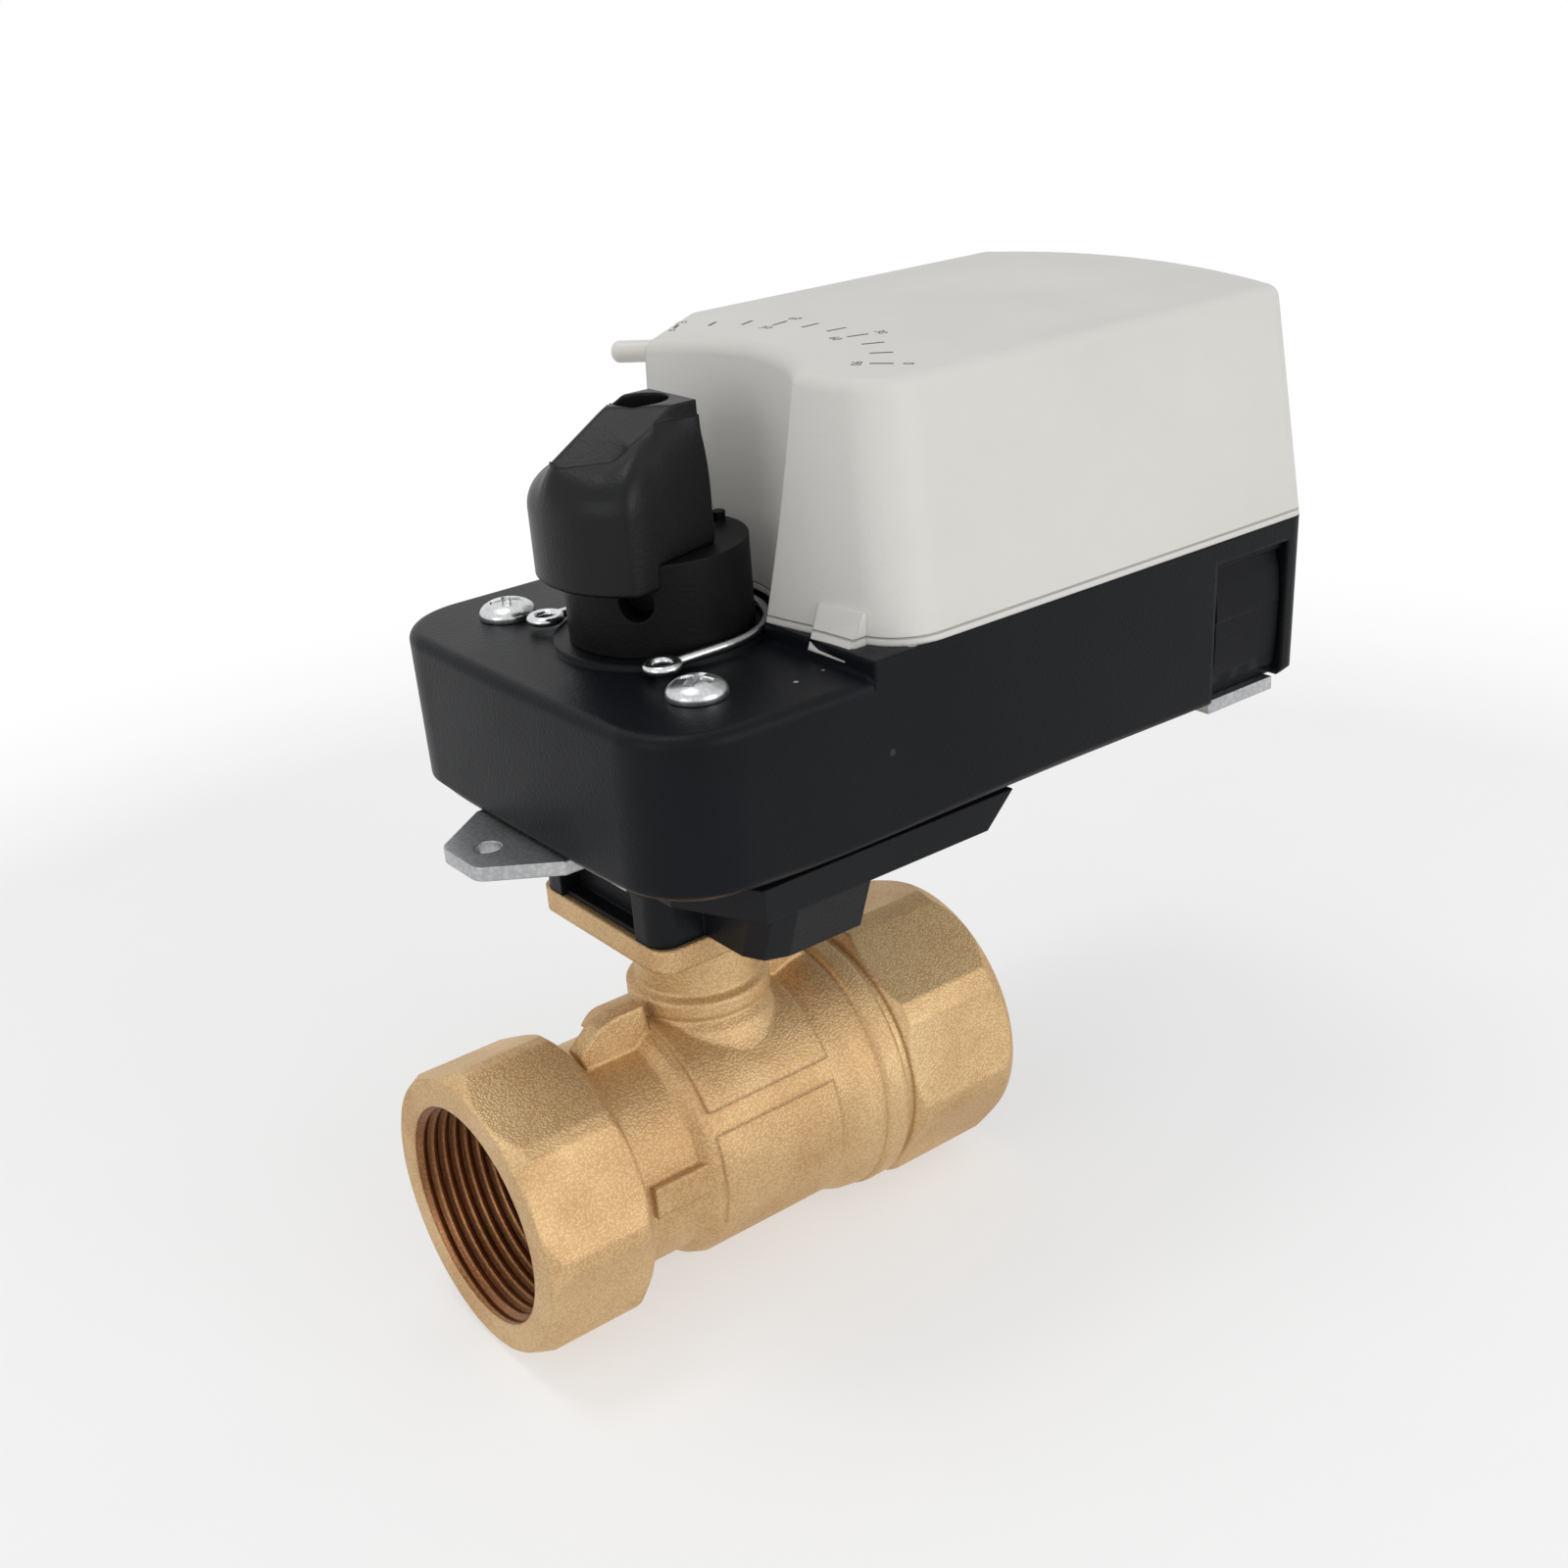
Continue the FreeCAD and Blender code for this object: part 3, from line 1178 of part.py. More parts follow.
def make_cable_grommets():
    """Two rubber grommets, closed by a membrane, in the rear wall."""
    rings = []
    for side in (-1, 1):
        y = side * grommet_y
        face = rear_x - rear_bow * (grommet_y / half_width) ** 2
        plug = rod_along((1, 0, 0), grommet_r - 0.05, (face - wall - 1.2, y, grommet_z), wall + 2.0)
        inner = rod_along((1, 0, 0), grommet_r + 1.3, (face - wall - 2.7, y, grommet_z), 1.6)
        dimple = rod_along((1, 0, 0), grommet_r - 1.6, (face - 0.6, y, grommet_z), 3)
        rings.append(plug.fuse(inner).cut(dimple))
    return Part.makeCompound(rings)


def save(name, shape):
    """Write one piece, moved so that the inlet port's face is at the origin."""
    placed = shape.copy()
    placed.translate(Vec(inlet_reach, 0, 0))
    if not placed.isValid():
        print("not valid:", name)
    volumes = ["%.0f" % solid.Volume for solid in placed.Solids]
    print("%-20s solids %d  mm3 %s" % (name, len(placed.Solids), " ".join(volumes)))
    if len(placed.Solids) == 1:
        placed = placed.Solids[0]
    placed.exportStep("parts/" + name + ".step")


pieces = {
    "valve_body": make_valve_body,
    "end_connector": make_end_connector,
    "inlet_seat": lambda: make_seat(-1),
    "outlet_seat": lambda: make_seat(1),
    "connector_gasket": make_gasket,
    "ball": make_ball,
    "valve_stem": make_stem,
    "stem_seals": make_stem_seals,
    "thrust_washer": make_thrust_washer,
    "locating_pins": make_locating_pins,
    "mounting_adapter": make_adapter,
    "adapter_screws": make_adapter_screws,
    "base_plate": make_base_plate,
    "output_bush": make_output_bush,
    "lower_housing": make_lower_housing,
    "rear_clip_left": make_rear_clip,
    "rear_clip_right": lambda: mirrored(make_rear_clip()),
    "top_cover": make_top_cover,
    "housing_screws": make_housing_screws,
    "retaining_clip": make_retaining_clip,
    "drive_hub": make_drive_hub,
    "position_knob": make_position_knob,
    "knob_screw": make_knob_screw,
    "output_gear": make_output_gear,
    "first_gear": make_first_gear,
    "second_gear": make_second_gear,
    "motor_pinion": make_motor_pinion,
    "gear_arbors": make_gear_arbors,
    "gear_plate": make_gear_plate,
    "motor": make_motor,
    "motor_screws": make_motor_screws,
    "board_spacers": make_board_spacers,
    "circuit_board": make_circuit_board,
    "board_components": make_board_components,
    "terminal_block": make_terminal_block,
    "switch_cam": make_switch_cam,
    "limit_switches": make_limit_switches,
    "gear_release": make_gear_release,
    "cable_grommets": make_cable_grommets,
}

os.makedirs("parts", exist_ok=True)
for piece_name, make_piece in pieces.items():
    save(piece_name, make_piece())
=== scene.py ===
# %% [markdown]
# # A motorized ball valve
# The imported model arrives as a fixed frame: every solid already stands in its place, in metres,
# with the origin at the centre of the inlet port. This lesson dresses that frame. Shapes that a
# solid modeller draws well stay as they are and get a finish. Threads, screws, clips, the pointer
# knob and the printed scale are drawn here, because they are surfaces rather than blocks.

# %% The frame
import json
import bpy
import numpy as np
from mathutils import Matrix, Vector
from mathutils.bvhtree import BVHTree


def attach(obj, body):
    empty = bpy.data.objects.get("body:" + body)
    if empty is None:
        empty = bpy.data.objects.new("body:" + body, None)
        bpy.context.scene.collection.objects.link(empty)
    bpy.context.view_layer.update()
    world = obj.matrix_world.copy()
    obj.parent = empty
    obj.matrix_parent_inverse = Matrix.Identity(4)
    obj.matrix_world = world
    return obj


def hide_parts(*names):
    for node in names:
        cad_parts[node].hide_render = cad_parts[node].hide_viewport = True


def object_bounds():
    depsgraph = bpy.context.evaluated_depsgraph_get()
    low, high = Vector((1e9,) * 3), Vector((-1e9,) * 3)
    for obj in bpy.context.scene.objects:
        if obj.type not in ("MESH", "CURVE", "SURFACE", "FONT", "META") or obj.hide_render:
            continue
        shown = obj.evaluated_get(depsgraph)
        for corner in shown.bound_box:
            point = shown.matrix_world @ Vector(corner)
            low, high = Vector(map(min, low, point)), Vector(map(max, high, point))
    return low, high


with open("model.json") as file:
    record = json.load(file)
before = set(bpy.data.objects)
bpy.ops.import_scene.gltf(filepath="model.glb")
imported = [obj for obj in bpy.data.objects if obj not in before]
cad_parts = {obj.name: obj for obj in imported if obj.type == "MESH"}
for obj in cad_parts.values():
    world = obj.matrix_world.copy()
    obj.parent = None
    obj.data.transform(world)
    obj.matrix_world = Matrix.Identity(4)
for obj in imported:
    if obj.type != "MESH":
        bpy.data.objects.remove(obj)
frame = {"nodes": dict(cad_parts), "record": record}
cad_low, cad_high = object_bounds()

nodes = frame["nodes"]
MM = 0.001
STEM_X = 42.0                 # the stem's axis, in millimetres from the inlet face
print("solids:", len(nodes), "box", [round(float(v) * 1000) for v in cad_high])

# %% [markdown]
# ## Camera
# The photograph was taken from above and in front, from about 30 cm. The three rows of `turn` are the
# camera's right, down and forward directions, found by matching edges of the object.
# A camera object looks along its own -Z, so the rows become its axes with two signs changed.

# %% Camera
SENSOR, FOCAL_PX, PICTURE_PX = 36.0, 2009.168, 1600
turn = np.array([[0.78777852, -0.61181985, -0.07128452],
                 [-0.29853811, -0.27802096, -0.91300566],
                 [0.5387764, 0.74052739, -0.40167048]])
shift = np.array([-11.20983514, 48.91715513, 302.86463567]) - turn[:, 0] * STEM_X
eye = -turn.T @ shift * MM
camera = bpy.data.objects.new("camera", bpy.data.cameras.new("camera"))
bpy.context.scene.collection.objects.link(camera)
axes = np.eye(4)
axes[:3, 0], axes[:3, 1], axes[:3, 2], axes[:3, 3] = turn[0], -turn[1], -turn[2], eye
camera.matrix_world = Matrix(axes.tolist())
camera.data.sensor_width = SENSOR
camera.data.lens = SENSOR * FOCAL_PX / PICTURE_PX
camera.data.clip_start = 0.01
bpy.context.scene.camera = camera
bpy.context.scene.view_settings.view_transform = "Standard"
print("camera stands at", [round(float(v), 3) for v in eye])

# %% [markdown]
# ## Floor and light
# A product picture needs a pale ground that keeps the soft shadow and fades to white further out.
# The floor is a grid, because its fade is a function of the distance from the object. A broad lamp
# at the right does most of the work, since the right side of the cover is the palest face. The sky
# is a plain half-strength white, so metal has something calm to reflect.

# %% Helpers for meshes
def grid_faces(rows, cols, wrap_rows=False, wrap_cols=False):
    """Corner numbers of the quads of a grid: point (i, j) has the number i * cols + j."""
    i, j = np.meshgrid(np.arange(rows if wrap_rows else rows - 1),
                       np.arange(cols if wrap_cols else cols - 1), indexing="ij")
    i2, j2 = (i + 1) % rows, (j + 1) % cols
    return np.stack([i * cols + j, i * cols + j2, i2 * cols + j2, i2 * cols + j], -1).reshape(-1, 4)


def mesh_piece(name, points, faces, smooth_angle=35.0):
    """Object from an array of points in millimetres and a list of faces, shaded smooth up to an angle.

    Its signed volume is in proportion to the sum of a . (b x c) over the triangles of its quads. Where
    that comes out negative the faces look inward, and each one is turned over.
    """
    points = np.asarray(points, float).reshape(-1, 3)
    faces = [list(face) for face in faces]
    quads = np.array([face for face in faces if len(face) == 4]).reshape(-1, 4)
    a, b, c, d = (points[quads[:, i]] - points.mean(0) for i in range(4))
    volume = np.sum(a * np.cross(b, c)) + np.sum(a * np.cross(c, d))
    if volume < 0:
        faces = [face[::-1] for face in faces]
    mesh = bpy.data.meshes.new(name)
    mesh.from_pydata((points * MM).tolist(), [], faces)
    mesh.update()
    mesh.shade_smooth()
    mesh.set_sharp_from_angle(angle=np.radians(smooth_angle))
    piece = bpy.data.objects.new(name, mesh)
    bpy.context.scene.collection.objects.link(piece)
    return piece


def grid_piece(name, points, wrap_rows=False, wrap_cols=False, close_ends=False, smooth_angle=35.0):
    """Object from a grid of points (rows, cols, 3); close_ends fills the first and last row."""
    rows, cols = points.shape[:2]
    faces = grid_faces(rows, cols, wrap_rows, wrap_cols).tolist()
    if close_ends:
        faces.append(list(range(cols))[::-1])
        faces.append([(rows - 1) * cols + j for j in range(cols)])
    return mesh_piece(name, points, faces, smooth_angle)


def joined(name, pieces):
    """One object from several, which are used up."""
    points, faces, start = [], [], 0
    for piece in pieces:
        mesh = piece.data
        flat = np.empty(len(mesh.vertices) * 3)
        mesh.vertices.foreach_get("co", flat)
        points.append(flat.reshape(-1, 3) / MM)
        faces += [[v + start for v in p.vertices] for p in mesh.polygons]
        start += len(mesh.vertices)
        bpy.data.objects.remove(piece)
    return mesh_piece(name, np.concatenate(points), faces)


# %% Floor
FLOOR_GAP, FLOOR_MIDDLE, FLOOR_HALF = 0.05, 60, 1500
floor_z = float(cad_low[2]) / MM - FLOOR_GAP
u, v = np.meshgrid(np.linspace(-1, 1, 61), np.linspace(-1, 1, 61), indexing="ij")
ground = np.stack([FLOOR_MIDDLE + FLOOR_HALF * u, FLOOR_HALF * v, floor_z - (u * u + v * v)], -1)
floor = grid_piece("floor", ground)
print("floor at", round(floor_z, 2), "mm")

# %% Node helpers
def link(tree, source, target):
    tree.links.new(source, target)


def add(tree, kind, **values):
    """New node of a kind; values set its properties, or its inputs where the name is an input's."""
    node = tree.nodes.new(kind)
    for key, value in values.items():
        if hasattr(node, key):
            setattr(node, key, value)
        else:
            node.inputs[key.replace("_", " ")].default_value = value
    return node


def math_node(tree, operation, first, second=None, clamp=False):
    """Math node whose operands are sockets or numbers; returns its output."""
    node = tree.nodes.new("ShaderNodeMath")
    node.operation = operation
    node.use_clamp = clamp
    for socket, value in zip(node.inputs, (first, second)):
        if value is None:
            continue
        if isinstance(value, (int, float)):
            socket.default_value = value
        else:
            tree.links.new(value, socket)
    return node.outputs[0]


def ramp(tree, factor, low, high, smooth=True):
    """Factor stretched so that low gives 0 and high gives 1."""
    node = tree.nodes.new("ShaderNodeMapRange")
    node.interpolation_type = "SMOOTHSTEP" if smooth else "LINEAR"
    node.inputs["From Min"].default_value = low
    node.inputs["From Max"].default_value = high
    tree.links.new(factor, node.inputs["Value"])
    return node.outputs["Result"]


def mix_colour(tree, factor, first, second):
    """Colour between two, each a socket or an (r, g, b)."""
    node = tree.nodes.new("ShaderNodeMix")
    node.data_type = "RGBA"
    if isinstance(factor, (int, float)):
        node.inputs["Factor"].default_value = factor
    else:
        tree.links.new(factor, node.inputs["Factor"])
    for name, value in (("A", first), ("B", second)):
        socket = [s for s in node.inputs if s.name == name and s.type == "RGBA"][0]
        if isinstance(value, tuple):
            socket.default_value = (*value, 1)
        else:
            tree.links.new(value, socket)
    return [s for s in node.outputs if s.type == "RGBA"][0]


def shade(red, green, blue):
    """Linear colour from the 0 to 255 values that a picture editor shows."""
    c = np.array([red, green, blue]) / 255
    return tuple(np.where(c <= 0.04045, c / 12.92, ((c + 0.055) / 1.055) ** 2.4).tolist())


# %% Floor finish, sky and lamps
FADE_FROM, FADE_TO, FADE_LEAST = 0.10, 0.34, 0.5     # metres, metres, and the least share of white
SKY = 0.57


def sees_white(tree):
    """1 for rays that show the white ground: straight from the camera, mirrored or passed on."""
    path = add(tree, "ShaderNodeLightPath").outputs
    seen = math_node(tree, "ADD", path["Is Camera Ray"], path["Is Glossy Ray"], clamp=True)
    return math_node(tree, "ADD", seen, path["Is Transmission Ray"], clamp=True)


ground_look = bpy.data.materials.new("pale_ground")
ground_look.use_nodes = True
tree = ground_look.node_tree
tree.nodes.clear()
place = add(tree, "ShaderNodeTexCoord")
centred = add(tree, "ShaderNodeMapping")
centred.inputs["Location"].default_value = (-0.06, 0, 0)
link(tree, place.outputs["Object"], centred.inputs["Vector"])
reach = add(tree, "ShaderNodeVectorMath", operation="LENGTH")
link(tree, centred.outputs["Vector"], reach.inputs[0])
fade = ramp(tree, reach.outputs["Value"], FADE_FROM, FADE_TO)
fade = math_node(tree, "MAXIMUM", fade, FADE_LEAST)
fade = math_node(tree, "MULTIPLY", fade, sees_white(tree))
speckle = add(tree, "ShaderNodeTexNoise", Scale=40.0)
link(tree, place.outputs["Object"], speckle.inputs["Vector"])
tint = mix_colour(tree, speckle.outputs["Fac"], (0.93, 0.93, 0.93), (0.96, 0.96, 0.96))
matte = add(tree, "ShaderNodeBsdfDiffuse")
link(tree, tint, matte.inputs["Color"])
glow = add(tree, "ShaderNodeEmission", Strength=1.0)
blend = add(tree, "ShaderNodeMixShader")
link(tree, fade, blend.inputs["Fac"])
link(tree, matte.outputs[0], blend.inputs[1])
link(tree, glow.outputs[0], blend.inputs[2])
link(tree, blend.outputs[0], add(tree, "ShaderNodeOutputMaterial").inputs["Surface"])
floor.data.materials.append(ground_look)

world = bpy.data.worlds.new("studio")
world.use_nodes = True
bpy.context.scene.world = world
tree = world.node_tree
tree.nodes.clear()
plain = add(tree, "ShaderNodeBackground", Color=(1, 1, 1, 1), Strength=SKY)
white = add(tree, "ShaderNodeBackground", Color=(1, 1, 1, 1), Strength=1.0)
blend = add(tree, "ShaderNodeMixShader")
link(tree, sees_white(tree), blend.inputs["Fac"])
link(tree, plain.outputs[0], blend.inputs[1])
link(tree, white.outputs[0], blend.inputs[2])
link(tree, blend.outputs[0], add(tree, "ShaderNodeOutputWorld").inputs["Surface"])


def lamp(name, at, size, power):
    """Square area lamp at a point in metres that faces the middle of the object."""
    light = bpy.data.lights.new(name, "AREA")
    light.size = size
    light.energy = power
    holder = bpy.data.objects.new(name, light)
    bpy.context.scene.collection.objects.link(holder)
    aim = Vector((0.075, 0, 0.06)) - Vector(at)
    facing = aim.to_track_quat("-Z", "Y").to_matrix().to_4x4()
    holder.matrix_world = Matrix.Translation(Vector(at)) @ facing


lamp("key", (0.24, -0.73, 0.28), 0.55, 1.95)
lamp("front", (-0.75, -0.15, 0.30), 0.45, 0.9)
lamp("top", (-0.11, 0.16, 0.98), 0.32, 1.5)
print("lamps ready")

# %% [markdown]
# ## Shared effects
# Three effects come back in many finishes, so each is a node group with named inputs and outputs.
# `fine_grain` is the texture of a mould or of cast metal. `cloudy` is slow variation of tone.
# `specks` are grains of dust that lie on faces that look up. No real edge is perfectly sharp, so each
# finish also rounds its edges in the shading, by a Bevel node that stays in the material itself.

# %% Node groups
def group(name, inputs, outputs):
    """Empty node group with float or vector sockets: inputs are (name, kind, default)."""
    tree = bpy.data.node_groups.new(name, "ShaderNodeTree")
    for label, kind, default in inputs:
        socket = tree.interface.new_socket(name=label, in_out="INPUT", socket_type=kind)
        if default is not None:
            socket.default_value = default
    for label, kind in outputs:
        tree.interface.new_socket(name=label, in_out="OUTPUT", socket_type=kind)
    return tree, tree.nodes.new("NodeGroupInput"), tree.nodes.new("NodeGroupOutput")


FLOAT, VECTOR = "NodeSocketFloat", "NodeSocketVector"

grain_inputs = [("Vector", VECTOR, None), ("Scale", FLOAT, 900.0)]
grain_group, enter, leave = group("fine_grain", grain_inputs, [("Height", FLOAT), ("Pits", FLOAT)])
noise = add(grain_group, "ShaderNodeTexNoise", Detail=3.0, Roughness=0.6)
cells = add(grain_group, "ShaderNodeTexVoronoi")
for node in (noise, cells):
    link(grain_group, enter.outputs["Vector"], node.inputs["Vector"])
    link(grain_group, enter.outputs["Scale"], node.inputs["Scale"])
pits = ramp(grain_group, cells.outputs["Distance"], 0.15, 0.75)
rough_part = math_node(grain_group, "MULTIPLY", noise.outputs["Fac"], 0.6)
pitted_part = math_node(grain_group, "MULTIPLY", pits, 0.4)
link(grain_group, math_node(grain_group, "ADD", rough_part, pitted_part), leave.inputs["Height"])
link(grain_group, pits, leave.inputs["Pits"])

cloud_inputs = [("Vector", VECTOR, None), ("Scale", FLOAT, 30.0)]
cloud_group, enter, leave = group("cloudy", cloud_inputs, [("Factor", FLOAT)])
noise = add(cloud_group, "ShaderNodeTexNoise", Detail=4.0, Roughness=0.55)
link(cloud_group, enter.outputs["Vector"], noise.inputs["Vector"])
link(cloud_group, enter.outputs["Scale"], noise.inputs["Scale"])
link(cloud_group, ramp(cloud_group, noise.outputs["Fac"], 0.32, 0.68), leave.inputs["Factor"])

speck_inputs = [("Vector", VECTOR, None), ("Scale", FLOAT, 260.0), ("Size", FLOAT, 0.16)]
speck_group, enter, leave = group("specks", speck_inputs, [("Mask", FLOAT)])
cells = add(speck_group, "ShaderNodeTexVoronoi")
link(speck_group, enter.outputs["Vector"], cells.inputs["Vector"])
link(speck_group, enter.outputs["Scale"], cells.inputs["Scale"])
chance = add(speck_group, "ShaderNodeSeparateColor")
link(speck_group, cells.outputs["Color"], chance.inputs[0])
near = math_node(speck_group, "LESS_THAN", cells.outputs["Distance"], enter.outputs["Size"])
rare = math_node(speck_group, "GREATER_THAN", chance.outputs[0], 0.93)
facing = add(speck_group, "ShaderNodeSeparateXYZ")
link(speck_group, add(speck_group, "ShaderNodeNewGeometry").outputs["Normal"], facing.inputs[0])
up = ramp(speck_group, facing.outputs["Z"], -0.2, 0.7)
grains = math_node(speck_group, "MULTIPLY", near, rare)
link(speck_group, math_node(speck_group, "MULTIPLY", grains, up), leave.inputs["Mask"])


def place_group(tree, kind, vector=None, **values):
    """A shared group placed in a material with its own values."""
    node = tree.nodes.new("ShaderNodeGroup")
    node.node_tree = kind
    if vector is not None:
        tree.links.new(vector, node.inputs["Vector"])
    for key, value in values.items():
        node.inputs[key].default_value = value
    return node


# %% [markdown]
# ## Finishes
# There are two kinds of finish, metal and moulding, and each is a function. It starts from a plain
# shader, then lays tone, grain and dust over it. The finishes are rows of numbers for the two: tones
# as 0 to 255 values, lengths in millimetres. Textures count in metres, so 1000 grains per metre are
# about a millimetre apart.

# %% Finish helpers
METAL_CLOUDS, MOULD_CLOUDS, DUST_GRAINS = 55.0, 28.0, 210.0      # per metre
CLOUD_SHARE, PIT_SHARE = 0.45, 0.55                              # of a metal's change of tone
DUST_TONE = (150, 150, 148)


def start_finish(name):
    """Material, its node tree, its shader and the socket of the object's own coordinates."""
    look = bpy.data.materials.new(name)
    look.use_nodes = True
    tree = look.node_tree
    shader = tree.nodes["Principled BSDF"]
    place = add(tree, "ShaderNodeTexCoord")
    return look, tree, shader, place.outputs["Object"]


def place_in(tree):
    """Separated X, Y and Z outputs of the object's own coordinates, in a finish that is already made."""
    source = [node for node in tree.nodes if node.bl_idname == "ShaderNodeTexCoord"][0]
    apart = add(tree, "ShaderNodeSeparateXYZ")
    link(tree, source.outputs["Object"], apart.inputs[0])
    return apart.outputs


def bump(tree, shader, height, strength, distance, normal=None):
    """Height field fed to the shader's normal."""
    node = add(tree, "ShaderNodeBump", Strength=strength, Distance=distance)
    link(tree, height, node.inputs["Height"])
    if normal is not None:
        link(tree, normal, node.inputs["Normal"])
    link(tree, node.outputs["Normal"], shader.inputs["Normal"])


def rounded_edges(tree, radius):
    """Normal that turns smoothly over every edge within a radius."""
    node = add(tree, "ShaderNodeBevel", Radius=radius, samples=6)
    return node.outputs["Normal"]


def metal(name, light, dark, roughness, grains, depth, edge=0.3, pure=1.0):
    """Cast, plated or turned metal: two tones in clouds, fine pits and softened edges.

    Blasted brass has a thin film of oxide that scatters light as paint does: `pure` is the share of
    clean metal.
    """
    look, tree, shader, place = start_finish(name)
    clouds = place_group(tree, cloud_group, place, Scale=METAL_CLOUDS).outputs["Factor"]
    grain = place_group(tree, grain_group, place, Scale=grains).outputs
    clouded = math_node(tree, "MULTIPLY", clouds, CLOUD_SHARE)
    tone = math_node(tree, "ADD", clouded, math_node(tree, "MULTIPLY", grain["Pits"], PIT_SHARE))
    link(tree, mix_colour(tree, tone, shade(*light), shade(*dark)), shader.inputs["Base Color"])
    shader.inputs["Metallic"].default_value = pure
    rough = math_node(tree, "ADD", math_node(tree, "MULTIPLY", clouds, 0.08), roughness)
    link(tree, rough, shader.inputs["Roughness"])
    bump(tree, shader, grain["Height"], 1.0, depth * MM, rounded_edges(tree, edge * MM))
    return look


def moulding(name, tone, second_tone, roughness, grains, depth, dust=0.0, edge=0.3, gloss=0.5):
    """Moulded plastic: nearly even tone, eroded mould texture, soft edges and a little dust."""
    look, tree, shader, place = start_finish(name)
    clouds = place_group(tree, cloud_group, place, Scale=MOULD_CLOUDS).outputs["Factor"]
    grain = place_group(tree, grain_group, place, Scale=grains).outputs
    colour = mix_colour(tree, clouds, shade(*tone), shade(*second_tone))
    rough = math_node(tree, "ADD", math_node(tree, "MULTIPLY", clouds, 0.06), roughness)
    if dust:
        flecks = place_group(tree, speck_group, place, Scale=DUST_GRAINS, Size=dust).outputs["Mask"]
        colour = mix_colour(tree, flecks, colour, shade(*DUST_TONE))
    link(tree, colour, shader.inputs["Base Color"])
    link(tree, rough, shader.inputs["Roughness"])
    shader.inputs["Specular IOR Level"].default_value = gloss
    bump(tree, shader, grain["Height"], 1.0, depth * MM, rounded_edges(tree, edge * MM))
    return look


# %% Finishes by slot
# Slot: name, light tone, dark tone, roughness, grains per metre, depth, then edge radius and purity
metals = {
    "valve_brass": ("cast_brass", (224, 195, 148), (190, 152, 107), 0.50, 2600, 0.08, 1.0, 0.8),
    "connector_brass": ("machined_brass", (224, 195, 148), (190, 153, 108), 0.48, 2600, 0.07, 0.8, 0.8),
    "stem_brass": ("turned_brass", (216, 180, 116), (196, 158, 98), 0.22, 3000, 0.01),
    "ball_chrome": ("chrome", (225, 226, 228), (214, 216, 220), 0.06, 3000, 0.003),
    "pin_steel": ("pin_steel", (196, 196, 194), (176, 176, 174), 0.25, 3000, 0.008),
    "zinc_screw": ("zinc_screw", (214, 216, 216), (186, 188, 190), 0.27, 1800, 0.012, 0.2),
    "zinc_plate": ("zinc_plate", (200, 202, 202), (168, 170, 172), 0.34, 1500, 0.02, 0.3),
    "bush_bronze": ("bronze", (190, 150, 104), (160, 120, 82), 0.40, 2400, 0.03),
    "wire_steel": ("spring_wire", (222, 224, 226), (196, 198, 200), 0.14, 2400, 0.005),
    "screw_black": ("black_oxide", (92, 92, 94), (70, 70, 72), 0.35, 2400, 0.01),
    "gear_steel": ("sintered_steel", (170, 170, 168), (146, 146, 146), 0.42, 2400, 0.03),
    "pinion_brass": ("pinion_brass", (220, 184, 112), (200, 164, 98), 0.25, 2400, 0.01),
    "motor_can": ("drawn_can", (206, 208, 208), (184, 186, 188), 0.30, 1400, 0.01),
}
# Slot: name, tone, second tone, roughness, grains per metre, depth, then dust, edge radius and gloss
mouldings = {
    "ptfe_seat": ("ptfe", (236, 235, 230), (226, 225, 220), 0.45, 1800, 0.01),
    "fibre_gasket": ("fibre", (150, 78, 58), (120, 60, 48), 0.80, 1500, 0.06),
    "seal_rubber": ("seal", (34, 34, 34), (26, 26, 26), 0.55, 1500, 0.02),
    "adapter_black": ("glass_filled_black", (20, 22, 26), (15, 17, 20), 0.42, 1900, 0.04,
                      0.12, 0.5, 0.16),
    "housing_black": ("housing_black", (16, 18, 23), (12, 14, 18), 0.36, 1700, 0.03, 0.14, 1.0, 0.12),
    "clip_black": ("clip_black", (17, 19, 23), (13, 14, 17), 0.42, 1700, 0.04, 0.10, 0.3, 0.12),
    "cover_grey": ("cover_pale", (215, 213, 208), (211, 209, 204), 0.48, 1500, 0.02, 0.0, 0.5, 0.4),
    "hub_black": ("hub_black", (18, 18, 19), (13, 13, 14), 0.40, 1900, 0.03, 0.12, 0.4, 0.12),
    "knob_black": ("knob_black", (20, 21, 22), (15, 16, 17), 0.33, 1700, 0.03, 0.10, 0.6, 0.2),
    "gear_plastic": ("acetal", (238, 234, 222), (230, 226, 212), 0.38, 1800, 0.01),
    "spacer_nylon": ("nylon", (236, 234, 226), (226, 224, 214), 0.45, 1800, 0.01),
    "board_green": ("solder_mask", (34, 108, 66), (28, 96, 58), 0.22, 900, 0.01),
    "component_black": ("component_black", (42, 42, 44), (34, 34, 36), 0.50, 1800, 0.02),
    "terminal_green": ("terminal_green", (60, 140, 88), (52, 128, 80), 0.38, 1800, 0.01),
    "cam_plastic": ("red_acetal", (176, 52, 38), (160, 46, 34), 0.38, 1800, 0.01),
    "release_white": ("release_white", (226, 222, 216), (218, 214, 208), 0.40, 1500, 0.01),
    "grommet_rubber": ("grommet_rubber", (38, 38, 39), (30, 30, 31), 0.62, 1400, 0.04),
}
finishes = {slot: metal(*row) for slot, row in metals.items()}
finishes.update({slot: moulding(*row) for slot, row in mouldings.items()})
slots = {part["node"]: part["material_slot"] for part in frame["record"]["subparts"]}
for name, node in nodes.items():
    node.data.materials.clear()
    node.data.materials.append(finishes[slots[name]])
print("finishes:", len(finishes))


